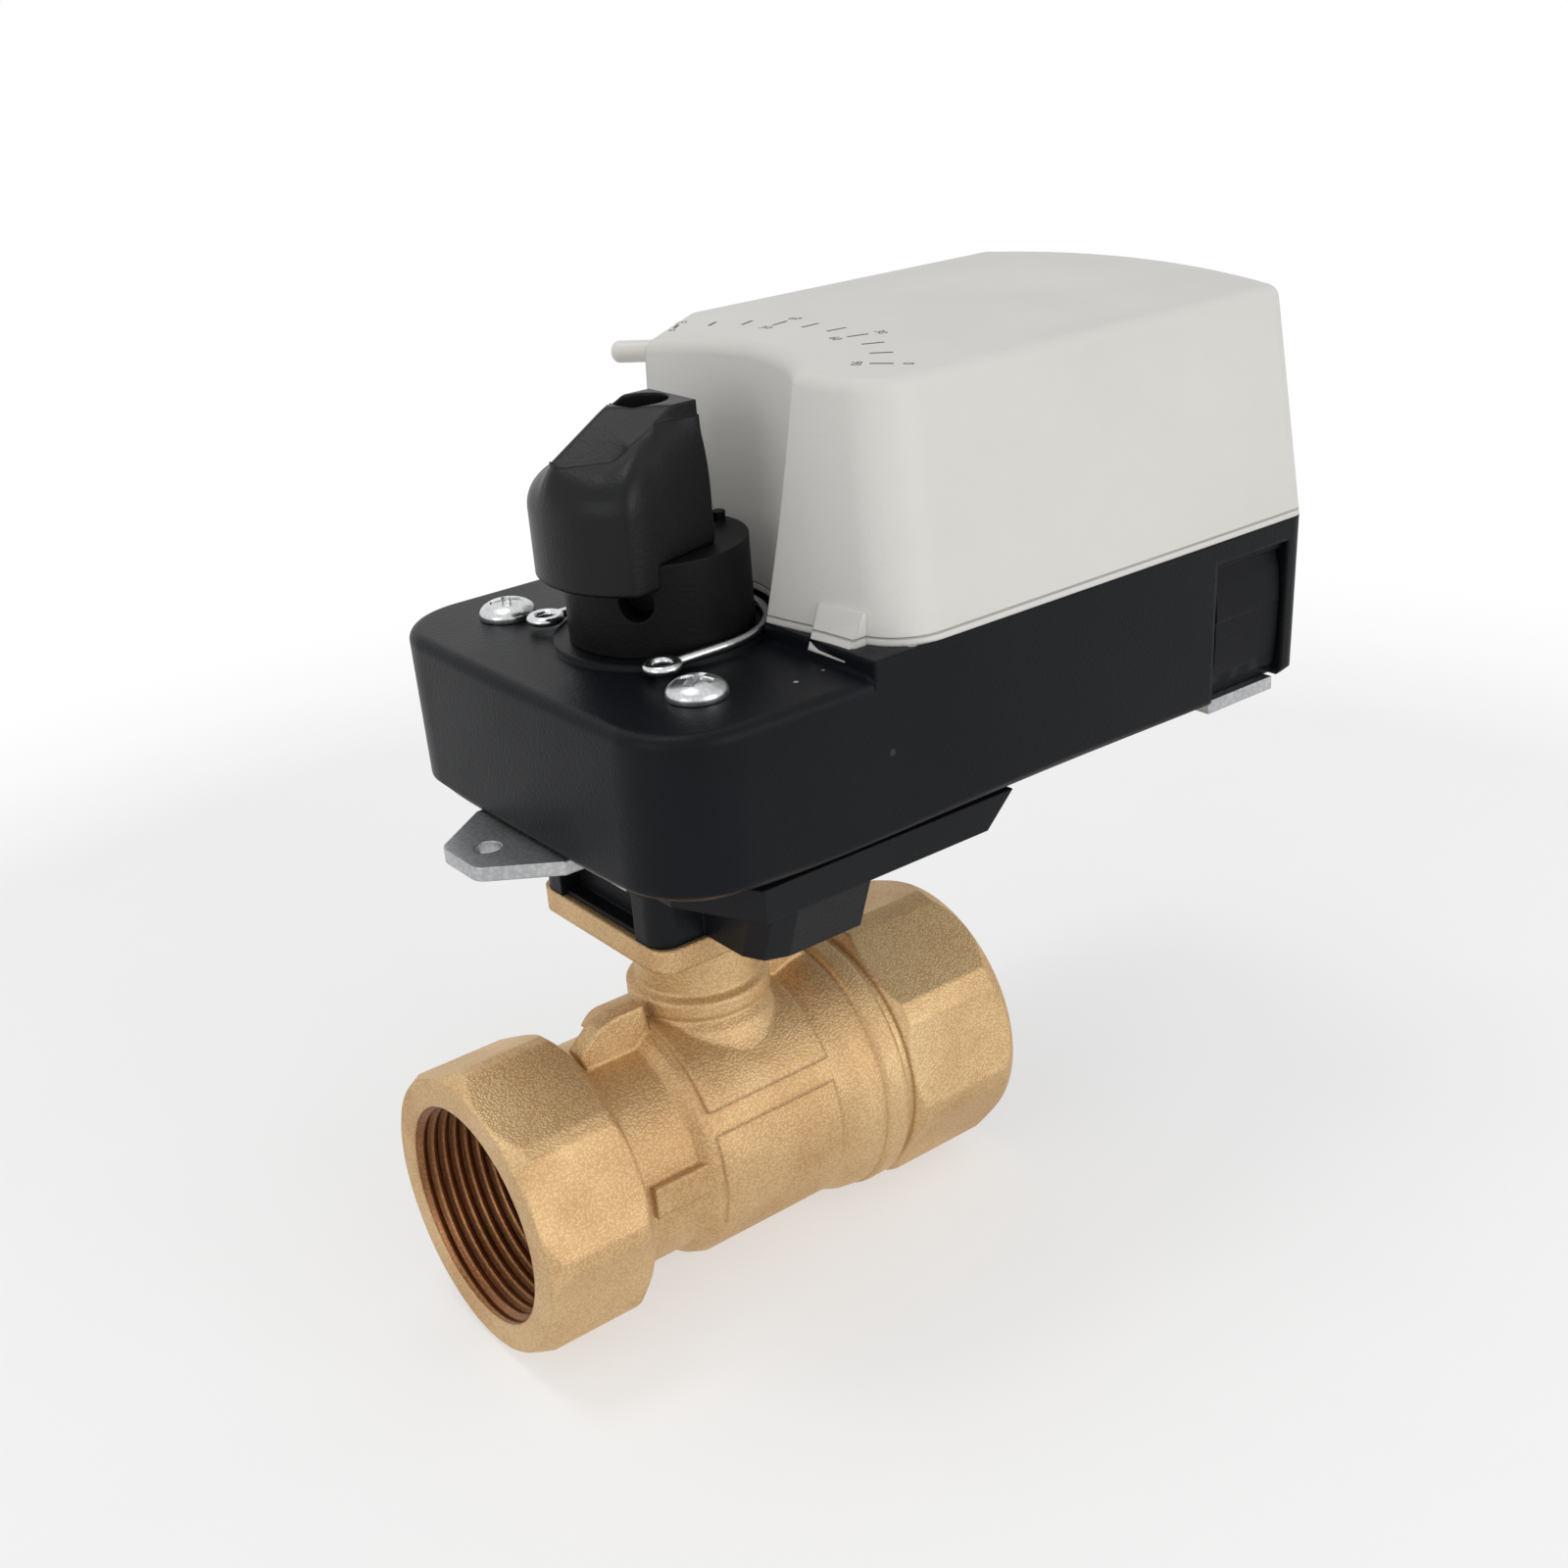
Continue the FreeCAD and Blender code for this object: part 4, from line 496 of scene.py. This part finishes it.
def dress(piece, body, slot, *replaced):
    """A finished piece: rides on a body, takes a slot's finish and may stand for CAD nodes."""
    piece.data.materials.clear()
    piece.data.materials.append(finishes[slot])
    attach(piece, body)
    if replaced:
        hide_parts(*replaced)
    print(piece.name, "faces", len(piece.data.polygons), "on", body)


# %% [markdown]
# ## Port threads
# Both ports have a parallel pipe thread, taken to be 33.25 mm wide at its roots. The picture shows fine
# ridges. Read off, they stand about 1.8 mm apart at that width, which is 14 to the inch.
# A thread is a groove whose depth depends on how far along a helix you are, so one formula gives the
# whole surface: radius = outside radius minus the depth of the ridge at (length / pitch - turn).

# %% Port threads
PITCH, PORT_R, RIDGE = 1.814, 16.62, 0.8
MOUTH, LEAD_IN, LENGTH, RUNOUT = 0.15, 1.2, 14.6, 3.0
INNER_GAP, OUTER_GAP = 0.03, 0.01        # between the port's wall and the ring's two walls
OUTLET_X = 86.0


def thread_ring(name, mouth_x, inward):
    """Thread as a closed ring: the inner wall is a helical ridge, the outer wall lies against the port.

    Ridge height = RIDGE * (1 - cos(2 pi phase)) / 2, where phase = x / PITCH - angle / 2 pi. The ridge
    fades to nothing at the mouth and over the runout at the far end.
    """
    turns = np.linspace(0, 1, 241)[:-1]
    along = np.linspace(MOUTH, LENGTH, 260)
    a, x = np.meshgrid(turns, along, indexing="ij")
    ridge = 0.5 - 0.5 * np.cos(2 * np.pi * (x / PITCH - a))
    fade = np.clip((x - MOUTH) / LEAD_IN, 0, 1) * np.clip((LENGTH - x) / RUNOUT, 0, 1)
    r = PORT_R - INNER_GAP - RIDGE * ridge * fade
    back = np.linspace(LENGTH, MOUTH, 8)
    a2, x2 = np.meshgrid(turns, back, indexing="ij")
    a, x = np.concatenate([a, a2], 1), np.concatenate([x, x2], 1)
    r = np.concatenate([r, np.full_like(x2, PORT_R - OUTER_GAP)], 1)
    angle = 2 * np.pi * a
    points = np.stack([mouth_x + inward * x, r * np.cos(angle), r * np.sin(angle)], -1)
    if inward < 0:
        points = points[::-1]
    return grid_piece(name, points, wrap_rows=True, wrap_cols=True, smooth_angle=50)


# Painted shade: the threads take a darker brown than the brass, which stands in for the shade inside the
# port.
port_shade_brass = metal("thread_painted_shade", (162, 116, 80), (122, 82, 54), 0.34, 2600, 0.02, 0.2)
for ring, slot in ((thread_ring("inlet_thread", 0.0, 1), "valve_brass"),
                   (thread_ring("outlet_thread", OUTLET_X, -1), "connector_brass")):
    dress(ring, "fixed", slot)
    ring.data.materials[0] = port_shade_brass

# %% [markdown]
# ## Pan-head screws
# The two bright screws in the deck have low domed heads with a cross recess. The head is turned and
# the recess is pressed, so the head is one surface of revolution, and the cross is a depth taken off
# its height. A grid of rings and spokes gives the cross enough points without any boolean cut.

# %% Pan-head screws
DECK_Z, SCREW_X, SCREW_Y = 76.5, STEM_X - 11.0, 23.5
HEAD_R, EDGE_Z, DOME_RISE, SHANK_R, SHANK_FOOT = 4.1, 0.7, 1.9, 2.0, 53.0
FINE_R, ARM_HALF, ARM_REACH, ARM_DEPTH, ARM_FADE_R = 2.5, 0.66, 2.45, 2.1, 3.4


def smooth_step(value):
    """0 below 0, 1 above 1, and 3 v^2 - 2 v^3 between."""
    value = np.clip(value, 0.0, 1.0)
    return value * value * (3 - 2 * value)


def pan_screw(name, x, y, turned):
    """Head, underside and shank as rings r(t), z(t) turned round the screw's axis.

    Dome: z = EDGE_Z + DOME_RISE * (1 - (r / HEAD_R)^2.3)^0.55. Cross: a point lies in an arm where it is
    nearer than ARM_HALF to the arm's line and than ARM_REACH to the axis, with soft steps at both.
    """
    outer_turn = np.linspace(0.68, np.pi / 2, 22)
    dome_r = np.concatenate([np.linspace(0.01, FINE_R, 44), HEAD_R * np.sin(outer_turn)])
    dome_z = EDGE_Z + DOME_RISE * np.clip(1 - (dome_r / HEAD_R) ** 2.3, 0, 1) ** 0.55
    under_r = np.array([HEAD_R, HEAD_R - 0.05, HEAD_R - 0.2, SHANK_R, SHANK_R, SHANK_R - 0.4, 0.01])
    foot_z = SHANK_FOOT - DECK_Z
    under_z = np.array([0.3, 0.08, 0.0, 0.0, foot_z + 0.5, foot_z, foot_z])
    spokes = np.linspace(0, 2 * np.pi, 161)[:-1]
    r, a = np.meshgrid(np.concatenate([dome_r, under_r]), spokes, indexing="ij")
    z = np.repeat(np.concatenate([dome_z, under_z])[:, None], len(spokes), 1)
    u, v = np.abs(r * np.cos(a - turned)), np.abs(r * np.sin(a - turned))
    arm = smooth_step((ARM_HALF - np.minimum(u, v)) / 0.2) * smooth_step((ARM_REACH - r) / 0.3)
    depth = arm * ARM_DEPTH * np.clip(1 - r / ARM_FADE_R, 0, 1)
    z[:len(dome_r)] -= depth[:len(dome_r)]
    points = np.stack([x + r * np.cos(a), y + r * np.sin(a), DECK_Z + z], -1)
    return grid_piece(name, points, wrap_cols=True, close_ends=True, smooth_angle=40)


screws = [pan_screw("near", SCREW_X, -SCREW_Y, 0.5), pan_screw("far", SCREW_X, SCREW_Y, 1.1)]
screws = joined("housing_screw_pair", screws)
dress(screws, "fixed", "zinc_screw", "housing_screws")

# %% [markdown]
# ## Pointer knob
# The knob is a moulded cap with a broad round nose, a soft shoulder, and two flat facets that rise to
# a square block with a screw hole. On a real drawing it would be one solid with rolled edges. Here it
# is one closed surface whose two parameters are the angle round the stem and the place along a
# profile that goes up the outside, in over the facets, down the hole and back under the skirt.
# Its outlines are distances from the stem in each direction, and a soft minimum of the nose, flank
# and rear distances rounds the corners between them, as the mould does.

# %% Pointer knob
KNOB_REAR, NOSE_FOOT, NOSE_HEAD = 4.5, 16.4, 14.3         # plan distances from the stem
FOOT_CORNER, FOOT_REAR, FOOT_SOFT = (-10.75, 12.45), 8.2, 2.4
HEAD_CORNER, HEAD_REAR, HEAD_SOFT = (-9.0, 6.0), 7.0, 0.3
SLANT = (-13.9, 1.5, -9.0, 6.0)                           # cuts the corner between nose and flank
BLOCK_FRONT, BLOCK_NEAR, BLOCK_FAR = -6.5, -6.4, 4.5
SKIRT_Z, COLLAR_TOP, COLLAR_CLEAR, LEDGE_Z, KNOB_TOP = 86.9, 90.0, 13.25, 107.1, 109.0
HOLE_R, HOLE_FLOOR, SCREW_HOLE_R, TENON_Z = 3.9, 92.0, 2.1, 85.2
SHOULDER_FOOT, SHOULDER_TURN, FAR_RIM = 97.4, 72.0, 102.6
RIDGE_Y, FACET_TURN, FACET_START, FACET_FALL, SUNK = 0.5, np.radians(42.5), 3.7, 0.79, 0.28
FAR_SLOPE, RIDGE_SOFT = 1.1, 1.2


def soft_minimum(first, second, width):
    """Smaller of two values, less width * h^2 / 4, where h = 1 - |difference| / width, at least 0."""
    h = np.clip(1 - np.abs(first - second) / width, 0, 1)
    return np.minimum(first, second) - h * h * width / 4


def line_distance(angle, x1, y1, x2, y2):
    """Distance from the axis, in each direction, to the line through two points; 1000 where missed."""
    nx, ny = y2 - y1, x1 - x2
    reach = nx * np.cos(angle) + ny * np.sin(angle)
    level = nx * x1 + ny * y1
    if level < 0:
        reach, level = -reach, -level
    return np.where(reach > 1e-3, level / np.maximum(reach, 1e-3), 1e3)


def knob_ring(angle, nose, corner, rear_y, softness):
    """Soft minimum of the nose circle and both flanks, cut by the rear plane."""
    flanks = np.minimum(line_distance(angle, corner[0], -corner[1], KNOB_REAR, -rear_y),
                        line_distance(angle, corner[0], corner[1], KNOB_REAR, rear_y))
    rear = line_distance(angle, KNOB_REAR, -9.0, KNOB_REAR, 9.0)
    return soft_minimum(soft_minimum(nose, flanks, softness), rear, 0.5)


def facets(x, y):
    """Lower of the two facet planes, which meet on the ridge line; the far one falls away faster."""
    near = -x * np.cos(FACET_TURN) - y * np.sin(FACET_TURN)
    far = -x * np.cos(FACET_TURN) - RIDGE_Y * np.sin(FACET_TURN) + (y - RIDGE_Y) * FAR_SLOPE
    farther = -soft_minimum(-near, -far, RIDGE_SOFT)
    return KNOB_TOP - FACET_FALL * (farther - FACET_START)


def box_ring(angle, front, rear, near, far):
    """Distance to the sides of a box round the axis: x from front to rear, y from near to far."""
    sides = ((front, -9, front, 9), (rear, -9, rear, 9), (-9, near, 9, near), (-9, far, 9, far))
    return np.minimum.reduce([line_distance(angle, *side) for side in sides])


def knob_surface():
    """Closed grid: rows go along the profile, columns round the stem."""
    corners = [np.arctan2(y, x) for x in (BLOCK_FRONT, KNOB_REAR) for y in (BLOCK_NEAR, BLOCK_FAR)]
    corners += [np.arctan2(side * y, KNOB_REAR) for y in (HEAD_REAR, FOOT_REAR) for side in (-1, 1)]
    evenly = np.linspace(-np.pi, np.pi, 481)[:-1]
    angle = np.unique(np.round(np.concatenate([evenly, corners]), 6))
    foot = knob_ring(angle, NOSE_FOOT, FOOT_CORNER, FOOT_REAR, FOOT_SOFT)
    x1, y1, x2, y2 = SLANT
    slants = np.minimum(line_distance(angle, x1, -y1, x2, -y2), line_distance(angle, x1, y1, x2, y2))
    head = soft_minimum(knob_ring(angle, NOSE_HEAD, HEAD_CORNER, HEAD_REAR, HEAD_SOFT), slants, 0.6)
    block = box_ring(angle, BLOCK_FRONT, KNOB_REAR, BLOCK_NEAR, BLOCK_FAR)

    def height(radius, limit):
        """Facet height at a radius in each direction, at most the limit beside the block."""
        x = radius * np.cos(angle)
        return np.minimum(facets(x, radius * np.sin(angle)), np.where(x < BLOCK_FRONT, KNOB_TOP, limit))

    rim = height(head, LEDGE_Z)
    under = SKIRT_Z + (COLLAR_TOP - SKIRT_Z) * smooth_step((COLLAR_CLEAR + 0.35 - foot) / 0.3)
    rows = [(foot - 0.35, under), (foot, under + 0.35)]
    # The shoulder turns less and starts lower at the far side, and turns less at the near flank too
    far = smooth_step((foot * np.sin(angle) + 4) / 8)
    flank = smooth_step((np.degrees(angle) + 130) / 12) * (1 - far)
    start = SHOULDER_FOOT - 1.2 * far
    end = rim - 0.03 - far * np.maximum(rim - FAR_RIM, 0)
    turn = np.radians(SHOULDER_TURN - 12 * far - 20 * flank)
    rows += [(foot, under + (start - under) * t) for t in np.linspace(0.2, 1.0, 7)]
    for share in np.linspace(0, 1, 19)[1:]:
        inward = (1 - np.cos(share * turn)) / (1 - np.cos(turn))
        upward = np.sin(share * turn) / np.sin(turn)
        rows.append((foot + (head - foot) * inward, start + (end - start) * upward))
    rows.append((head, rim))
    inner = np.maximum(head - 0.22, block + 0.02)
    sunk = SUNK * smooth_step(head - block)
    for share in (0.0, 0.15, 0.3, 0.45, 0.6, 0.75, 0.9, 1.0):
        radius = inner + (block + 0.01 - inner) * share
        rows.append((radius, height(radius, LEDGE_Z) - sunk * (1 - share)))
    rows.append((block, height(block, KNOB_TOP)))
    for share in (0.25, 0.5, 0.75, 1.0):
        radius = block + (HOLE_R - block) * share
        rows.append((radius, height(radius, KNOB_TOP)))
    full = np.ones_like(angle)
    hole_depth = height(full * HOLE_R, KNOB_TOP) - HOLE_FLOOR
    rows += [(full * HOLE_R, HOLE_FLOOR + hole_depth * t) for t in (0.66, 0.33, 0.0)]
    tenon = box_ring(angle, -6, 4.4, -4, 4)
    rows += [(full * SCREW_HOLE_R, full * HOLE_FLOOR), (full * SCREW_HOLE_R, full * TENON_Z)]
    rows += [(tenon, full * TENON_Z), (tenon, full * COLLAR_TOP)]
    clear = np.minimum(foot - 0.6, COLLAR_CLEAR)
    rows += [(clear, full * COLLAR_TOP), (clear, np.minimum(under, COLLAR_TOP - 0.01))]
    radius = np.array([row[0] for row in rows])
    z = np.array([row[1] for row in rows])
    points = np.stack([STEM_X + radius * np.cos(angle), radius * np.sin(angle), z], -1)
    return grid_piece("pointer_knob", points, wrap_rows=True, wrap_cols=True, smooth_angle=28)


dress(knob_surface(), "output", "knob_black", "position_knob")

# %% [markdown]
# ## Rear clips and latch tabs
# The cover is held by a spring clip in a pocket at each rear corner and by tabs at the foot of its
# front wall. A clip is a thin plate that bows outwards, so it springs when it is pressed. A tab is a
# small ramp that hangs in front of the ledge. Both are slabs: an outer sheet and an inner sheet, each
# a function of how far along and how high a point is, and closed round their edges.

# %% Slabs
def slab(name, outer, inner, smooth_angle=35):
    """Closed solid between two sheets of points with the same rows and columns."""
    rings = np.concatenate([outer, inner[:, ::-1]], 1)
    return grid_piece(name, rings, wrap_cols=True, close_ends=True, smooth_angle=smooth_angle)


CLIP_X, CLIP_Z, CLIP_INNER, CLIP_OUTER, CLIP_BOW = (73.75, 87.85), (55.7, 75.2), 33.25, 34.25, 0.8


def rear_clip(name, side):
    """Bowed plate with a step, a grip lip and small teeth at its foot.

    At the share t of its height it stands out CLIP_BOW * sin(pi t)^0.8, which fades from t = 0.8.
    """
    x, z = np.meshgrid(np.linspace(*CLIP_X, 12) + STEM_X, np.linspace(*CLIP_Z, 90), indexing="xy")
    t = (z - CLIP_Z[0]) / (CLIP_Z[1] - CLIP_Z[0])
    bow = CLIP_BOW * np.sin(np.pi * np.clip(t, 0, 1)) ** 0.8 * (1 - smooth_step((t - 0.8) / 0.12))
    lip = 0.75 * smooth_step((t - 0.93) / 0.03)
    step = 0.176 * smooth_step((t - 0.52) / 0.02)
    teeth = 0.35 * smooth_step((0.10 - t) / 0.02) * smooth_step(np.sin((x - STEM_X) * 1.35) * 2)
    outer = np.stack([x, side * (CLIP_OUTER + bow + lip + step - teeth), z], -1)
    inner = np.stack([x, np.full_like(x, side * CLIP_INNER), z], -1)
    return slab(name, outer, inner, smooth_angle=50)


dress(rear_clip("rear_clip_near", -1), "fixed", "clip_black", "rear_clip_right")
dress(rear_clip("rear_clip_far", 1), "fixed", "clip_black", "rear_clip_left")


TAB_Z, TAB_FOOT_X, TAB_Y, TAB_WIDTH, TAB_THICK = (77.45, 83.25), 7.38, 23.0, 7.4, 1.4


def latch_tab(name, side):
    """Ramp whose face runs from the ledge's front at the bottom back to the cover's wall at the top."""
    along, z = np.meshgrid(np.linspace(0, 1, 6), np.linspace(*TAB_Z, 10), indexing="xy")
    rise = (z - TAB_Z[0]) / (TAB_Z[1] - TAB_Z[0])
    x = STEM_X + TAB_FOOT_X + 0.12 * along + rise * (2.45 + 1.1 * along)
    y = side * (TAB_Y + TAB_WIDTH * along)
    return slab(name, np.stack([x, y, z], -1), np.stack([x + TAB_THICK, y, z], -1))


for name, side in (("latch_tab_near", -1), ("latch_tab_far", 1)):
    dress(latch_tab(name, side), "fixed", "cover_grey")

# %% [markdown]
# ## Front of the foot
# Between the two front legs the picture is black all the way down to the flange. Here that is a thin
# wall, set back a little, with a sole that lies on the brass. It is a guess, because the black could
# also be deep shadow. Its section is an L, drawn through the legs' gap from one leg to the other.

# %% Front of the foot
SOLE_Z, SOLE_TOP, WALL_TOP = 38.02, 38.8, 51.7
SOLE_X, WALL_X, WALL_BACK = -15.0, -12.6, -11.2
LEG_GAP_HALF = 9.58
SECTION = np.array([(SOLE_X, SOLE_Z), (SOLE_X, SOLE_TOP), (WALL_X, SOLE_TOP), (WALL_X, WALL_TOP),
                    (WALL_BACK, WALL_TOP), (WALL_BACK, SOLE_Z)])


def foot_front(steps=12):
    """L section of points (x, z) repeated at each y from one leg to the other."""
    y, x = np.meshgrid(np.linspace(-LEG_GAP_HALF, LEG_GAP_HALF, steps), SECTION[:, 0], indexing="ij")
    z = np.repeat(SECTION[None, :, 1], steps, 0)
    points = np.stack([STEM_X + x, y, z], -1)
    return grid_piece("foot_front", points, wrap_cols=True, close_ends=True)


dress(foot_front(), "fixed", "adapter_black")

# %% [markdown]
# ## Rim of the base plate
# The steel plate shows bright at its tongue and at its rear strip, but no bright edge shows round the
# housing, where the plate lies in the housing's shade. As a guess that shade is painted in: the finish
# turns black where the plate is further than 20 mm from the middle and in front of the rear strip. Why
# it is dark there can't be seen. As a guess the finish turns black, as if the rim were sealed, where
# the plate is further than 20 mm from the middle and in front of the rear strip.

# %% Rim of the base plate
SHADE_FROM_Y, SHADE_BEFORE_X, BORDER = 0.020, 0.100, 0.0002      # metres
PAINTED_SHADE_TONE, SHADE_ROUGHER = (16, 18, 21), 0.4

tree = finishes["zinc_plate"].node_tree
shader = tree.nodes["Principled BSDF"].inputs
spot = place_in(tree)
aside = ramp(tree, math_node(tree, "ABSOLUTE", spot["Y"]), SHADE_FROM_Y - BORDER, SHADE_FROM_Y + BORDER)
ahead = ramp(tree, spot["X"], SHADE_BEFORE_X + BORDER, SHADE_BEFORE_X - BORDER)
painted_shade = math_node(tree, "MULTIPLY", aside, ahead)
steel_tone = shader["Base Color"].links[0].from_socket
steel_rough = shader["Roughness"].links[0].from_socket
# Painted shade: the plate's rim round the housing is turned black and rough, standing for the shade
# under the housing.
link(tree, mix_colour(tree, painted_shade, steel_tone, shade(*PAINTED_SHADE_TONE)), shader["Base Color"])
link(tree, math_node(tree, "SUBTRACT", 1.0, painted_shade), shader["Metallic"])
rougher = math_node(tree, "MULTIPLY", painted_shade, SHADE_ROUGHER)
link(tree, math_node(tree, "ADD", steel_rough, rougher), shader["Roughness"])
print("plate rim dark beyond", SHADE_FROM_Y / MM, "mm")

# %% [markdown]
# ## Rim of the cover
# Round the foot of the cover runs a narrow rim, parted from the wall by a fine groove. It is as
# narrow as a hair in the picture, so it is a band of relief and painted shade in the cover's own
# finish, set by the height above the origin, and not a piece.

# %% Rim of the cover
GROOVE_Z, GROOVE_EDGE, GROOVE_FLOOR, GROOVE_DEPTH = 0.07995, 0.00022, 0.00004, 0.00015    # metres
GROOVE_SHADE_TONE = (168, 166, 161)

tree = finishes["cover_grey"].node_tree
shader = tree.nodes["Principled BSDF"].inputs
away = math_node(tree, "ABSOLUTE", math_node(tree, "SUBTRACT", place_in(tree)["Z"], GROOVE_Z))
groove = ramp(tree, away, GROOVE_EDGE, GROOVE_FLOOR)
plain_tone = shader["Base Color"].links[0].from_socket
# Painted shade: the groove is darkened to the shade tone, standing for the shadow line above the rim.
link(tree, mix_colour(tree, groove, plain_tone, shade(*GROOVE_SHADE_TONE)), shader["Base Color"])
cut = add(tree, "ShaderNodeBump", Strength=1.0, Distance=GROOVE_DEPTH, invert=True)
link(tree, groove, cut.inputs["Height"])
link(tree, shader["Normal"].links[0].from_socket, cut.inputs["Normal"])
link(tree, cut.outputs["Normal"], shader["Normal"])
print("rim groove at", GROOVE_Z / MM, "mm")

# %% [markdown]
# ## Printed scale
# The cover carries a printed scale, ten marks for the quarter turn with numbers at every third one,
# on both sides of the marks because the valve may be set to open either way. Print is a film of ink,
# so each mark is a very thin slab. It is first drawn flat, and then each point is set on the cover's
# crowned top by looking down at the cover's own mesh. The ink has no slot of its own in the record.

# %% Printed scale
cover = nodes["top_cover"]
cover_corners = [cover.matrix_world @ v.co for v in cover.data.vertices]
cover_tree = BVHTree.FromPolygons(cover_corners, [tuple(p.vertices) for p in cover.data.polygons])


def on_cover(x, y):
    """Height in millimetres of the cover's outer face above a point of the plan."""
    hit = cover_tree.ray_cast(Vector((x * MM, y * MM, 0.3)), Vector((0, 0, -1)))[0]
    return hit.z / MM


INK, INK_BELOW = 0.02, 0.15           # how far the print stands proud, and how far it goes down
MARKS = [np.radians(45.0 - 10.3 * k) for k in range(10)]
SCALE_R, SCALE_OFFSET = 30.9, 1.84
MARK_HALF_LENGTH, MARK_HALF_WIDTH = 1.55, 0.25
INNER_NUMBER, OUTER_NUMBER = -3.3, 3.4
DIGIT_SIZE, DIGIT_HALF_THICK = 2.1, 0.085


def mark_middle(angle):
    """Distance from the stem's axis to the middle of a mark: a circle a little off the axis."""
    return SCALE_R - SCALE_OFFSET * np.sin(angle)


def laid_on_cover(angle, distance, across, along, lift):
    """Flat drawing turned to face away from the knob: across runs clockwise, along runs outward."""
    x = STEM_X + (distance + along) * np.cos(angle) + across * np.sin(angle)
    y = (distance + along) * np.sin(angle) - across * np.cos(angle)
    return [(px, py, on_cover(px, py) + pz) for px, py, pz in zip(x, y, lift)]


def scale_mark(angle):
    """Bar of 3.1 by 0.5 mm along the radius: eight rings of four corners, two above and two below."""
    along = np.linspace(-MARK_HALF_LENGTH, MARK_HALF_LENGTH, 8)
    across = np.array([-MARK_HALF_WIDTH, MARK_HALF_WIDTH])
    u, v = (g.ravel() for g in np.meshgrid(along, across, indexing="ij"))
    middle = mark_middle(angle)
    top = np.array(laid_on_cover(angle, middle, v, u, np.full(len(u), INK))).reshape(8, 2, 3)
    low = np.array(laid_on_cover(angle, middle, v, u, np.full(len(u), -INK_BELOW))).reshape(8, 2, 3)
    rings = np.concatenate([top, low[:, ::-1]], 1)
    return grid_piece("mark", rings, wrap_cols=True, close_ends=True)


def scale_number(text, angle, distance):
    """Number drawn by the built-in font, made a mesh, and laid on the cover point by point."""
    curve = bpy.data.curves.new("digits", "FONT")
    curve.body, curve.align_x, curve.align_y = text, "CENTER", "CENTER"
    curve.size, curve.extrude, curve.resolution_u = DIGIT_SIZE, DIGIT_HALF_THICK, 3
    holder = bpy.data.objects.new("digits", curve)
    bpy.context.scene.collection.objects.link(holder)
    bpy.context.view_layer.update()
    flat = bpy.data.meshes.new_from_object(holder)
    bpy.data.objects.remove(holder)
    co = np.empty(len(flat.vertices) * 3)
    flat.vertices.foreach_get("co", co)
    co = co.reshape(-1, 3)
    points = laid_on_cover(angle, distance, co[:, 0], co[:, 1], co[:, 2] - DIGIT_HALF_THICK + INK)
    return mesh_piece("digits", points, [list(p.vertices) for p in flat.polygons])


ink = [scale_mark(angle) for angle in MARKS]
for count, angle in enumerate(MARKS[::3]):
    middle = mark_middle(angle)
    ink.append(scale_number(str(30 * count), angle, middle + INNER_NUMBER))
    ink.append(scale_number(str(90 - 30 * count), angle, middle + OUTER_NUMBER))
scale = joined("cover_scale", ink)
scale.data.materials.append(moulding("dark_ink", (74, 74, 74), (62, 62, 62), 0.6, 2600, 0.004))
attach(scale, "fixed")
print(scale.name, "faces", len(scale.data.polygons))
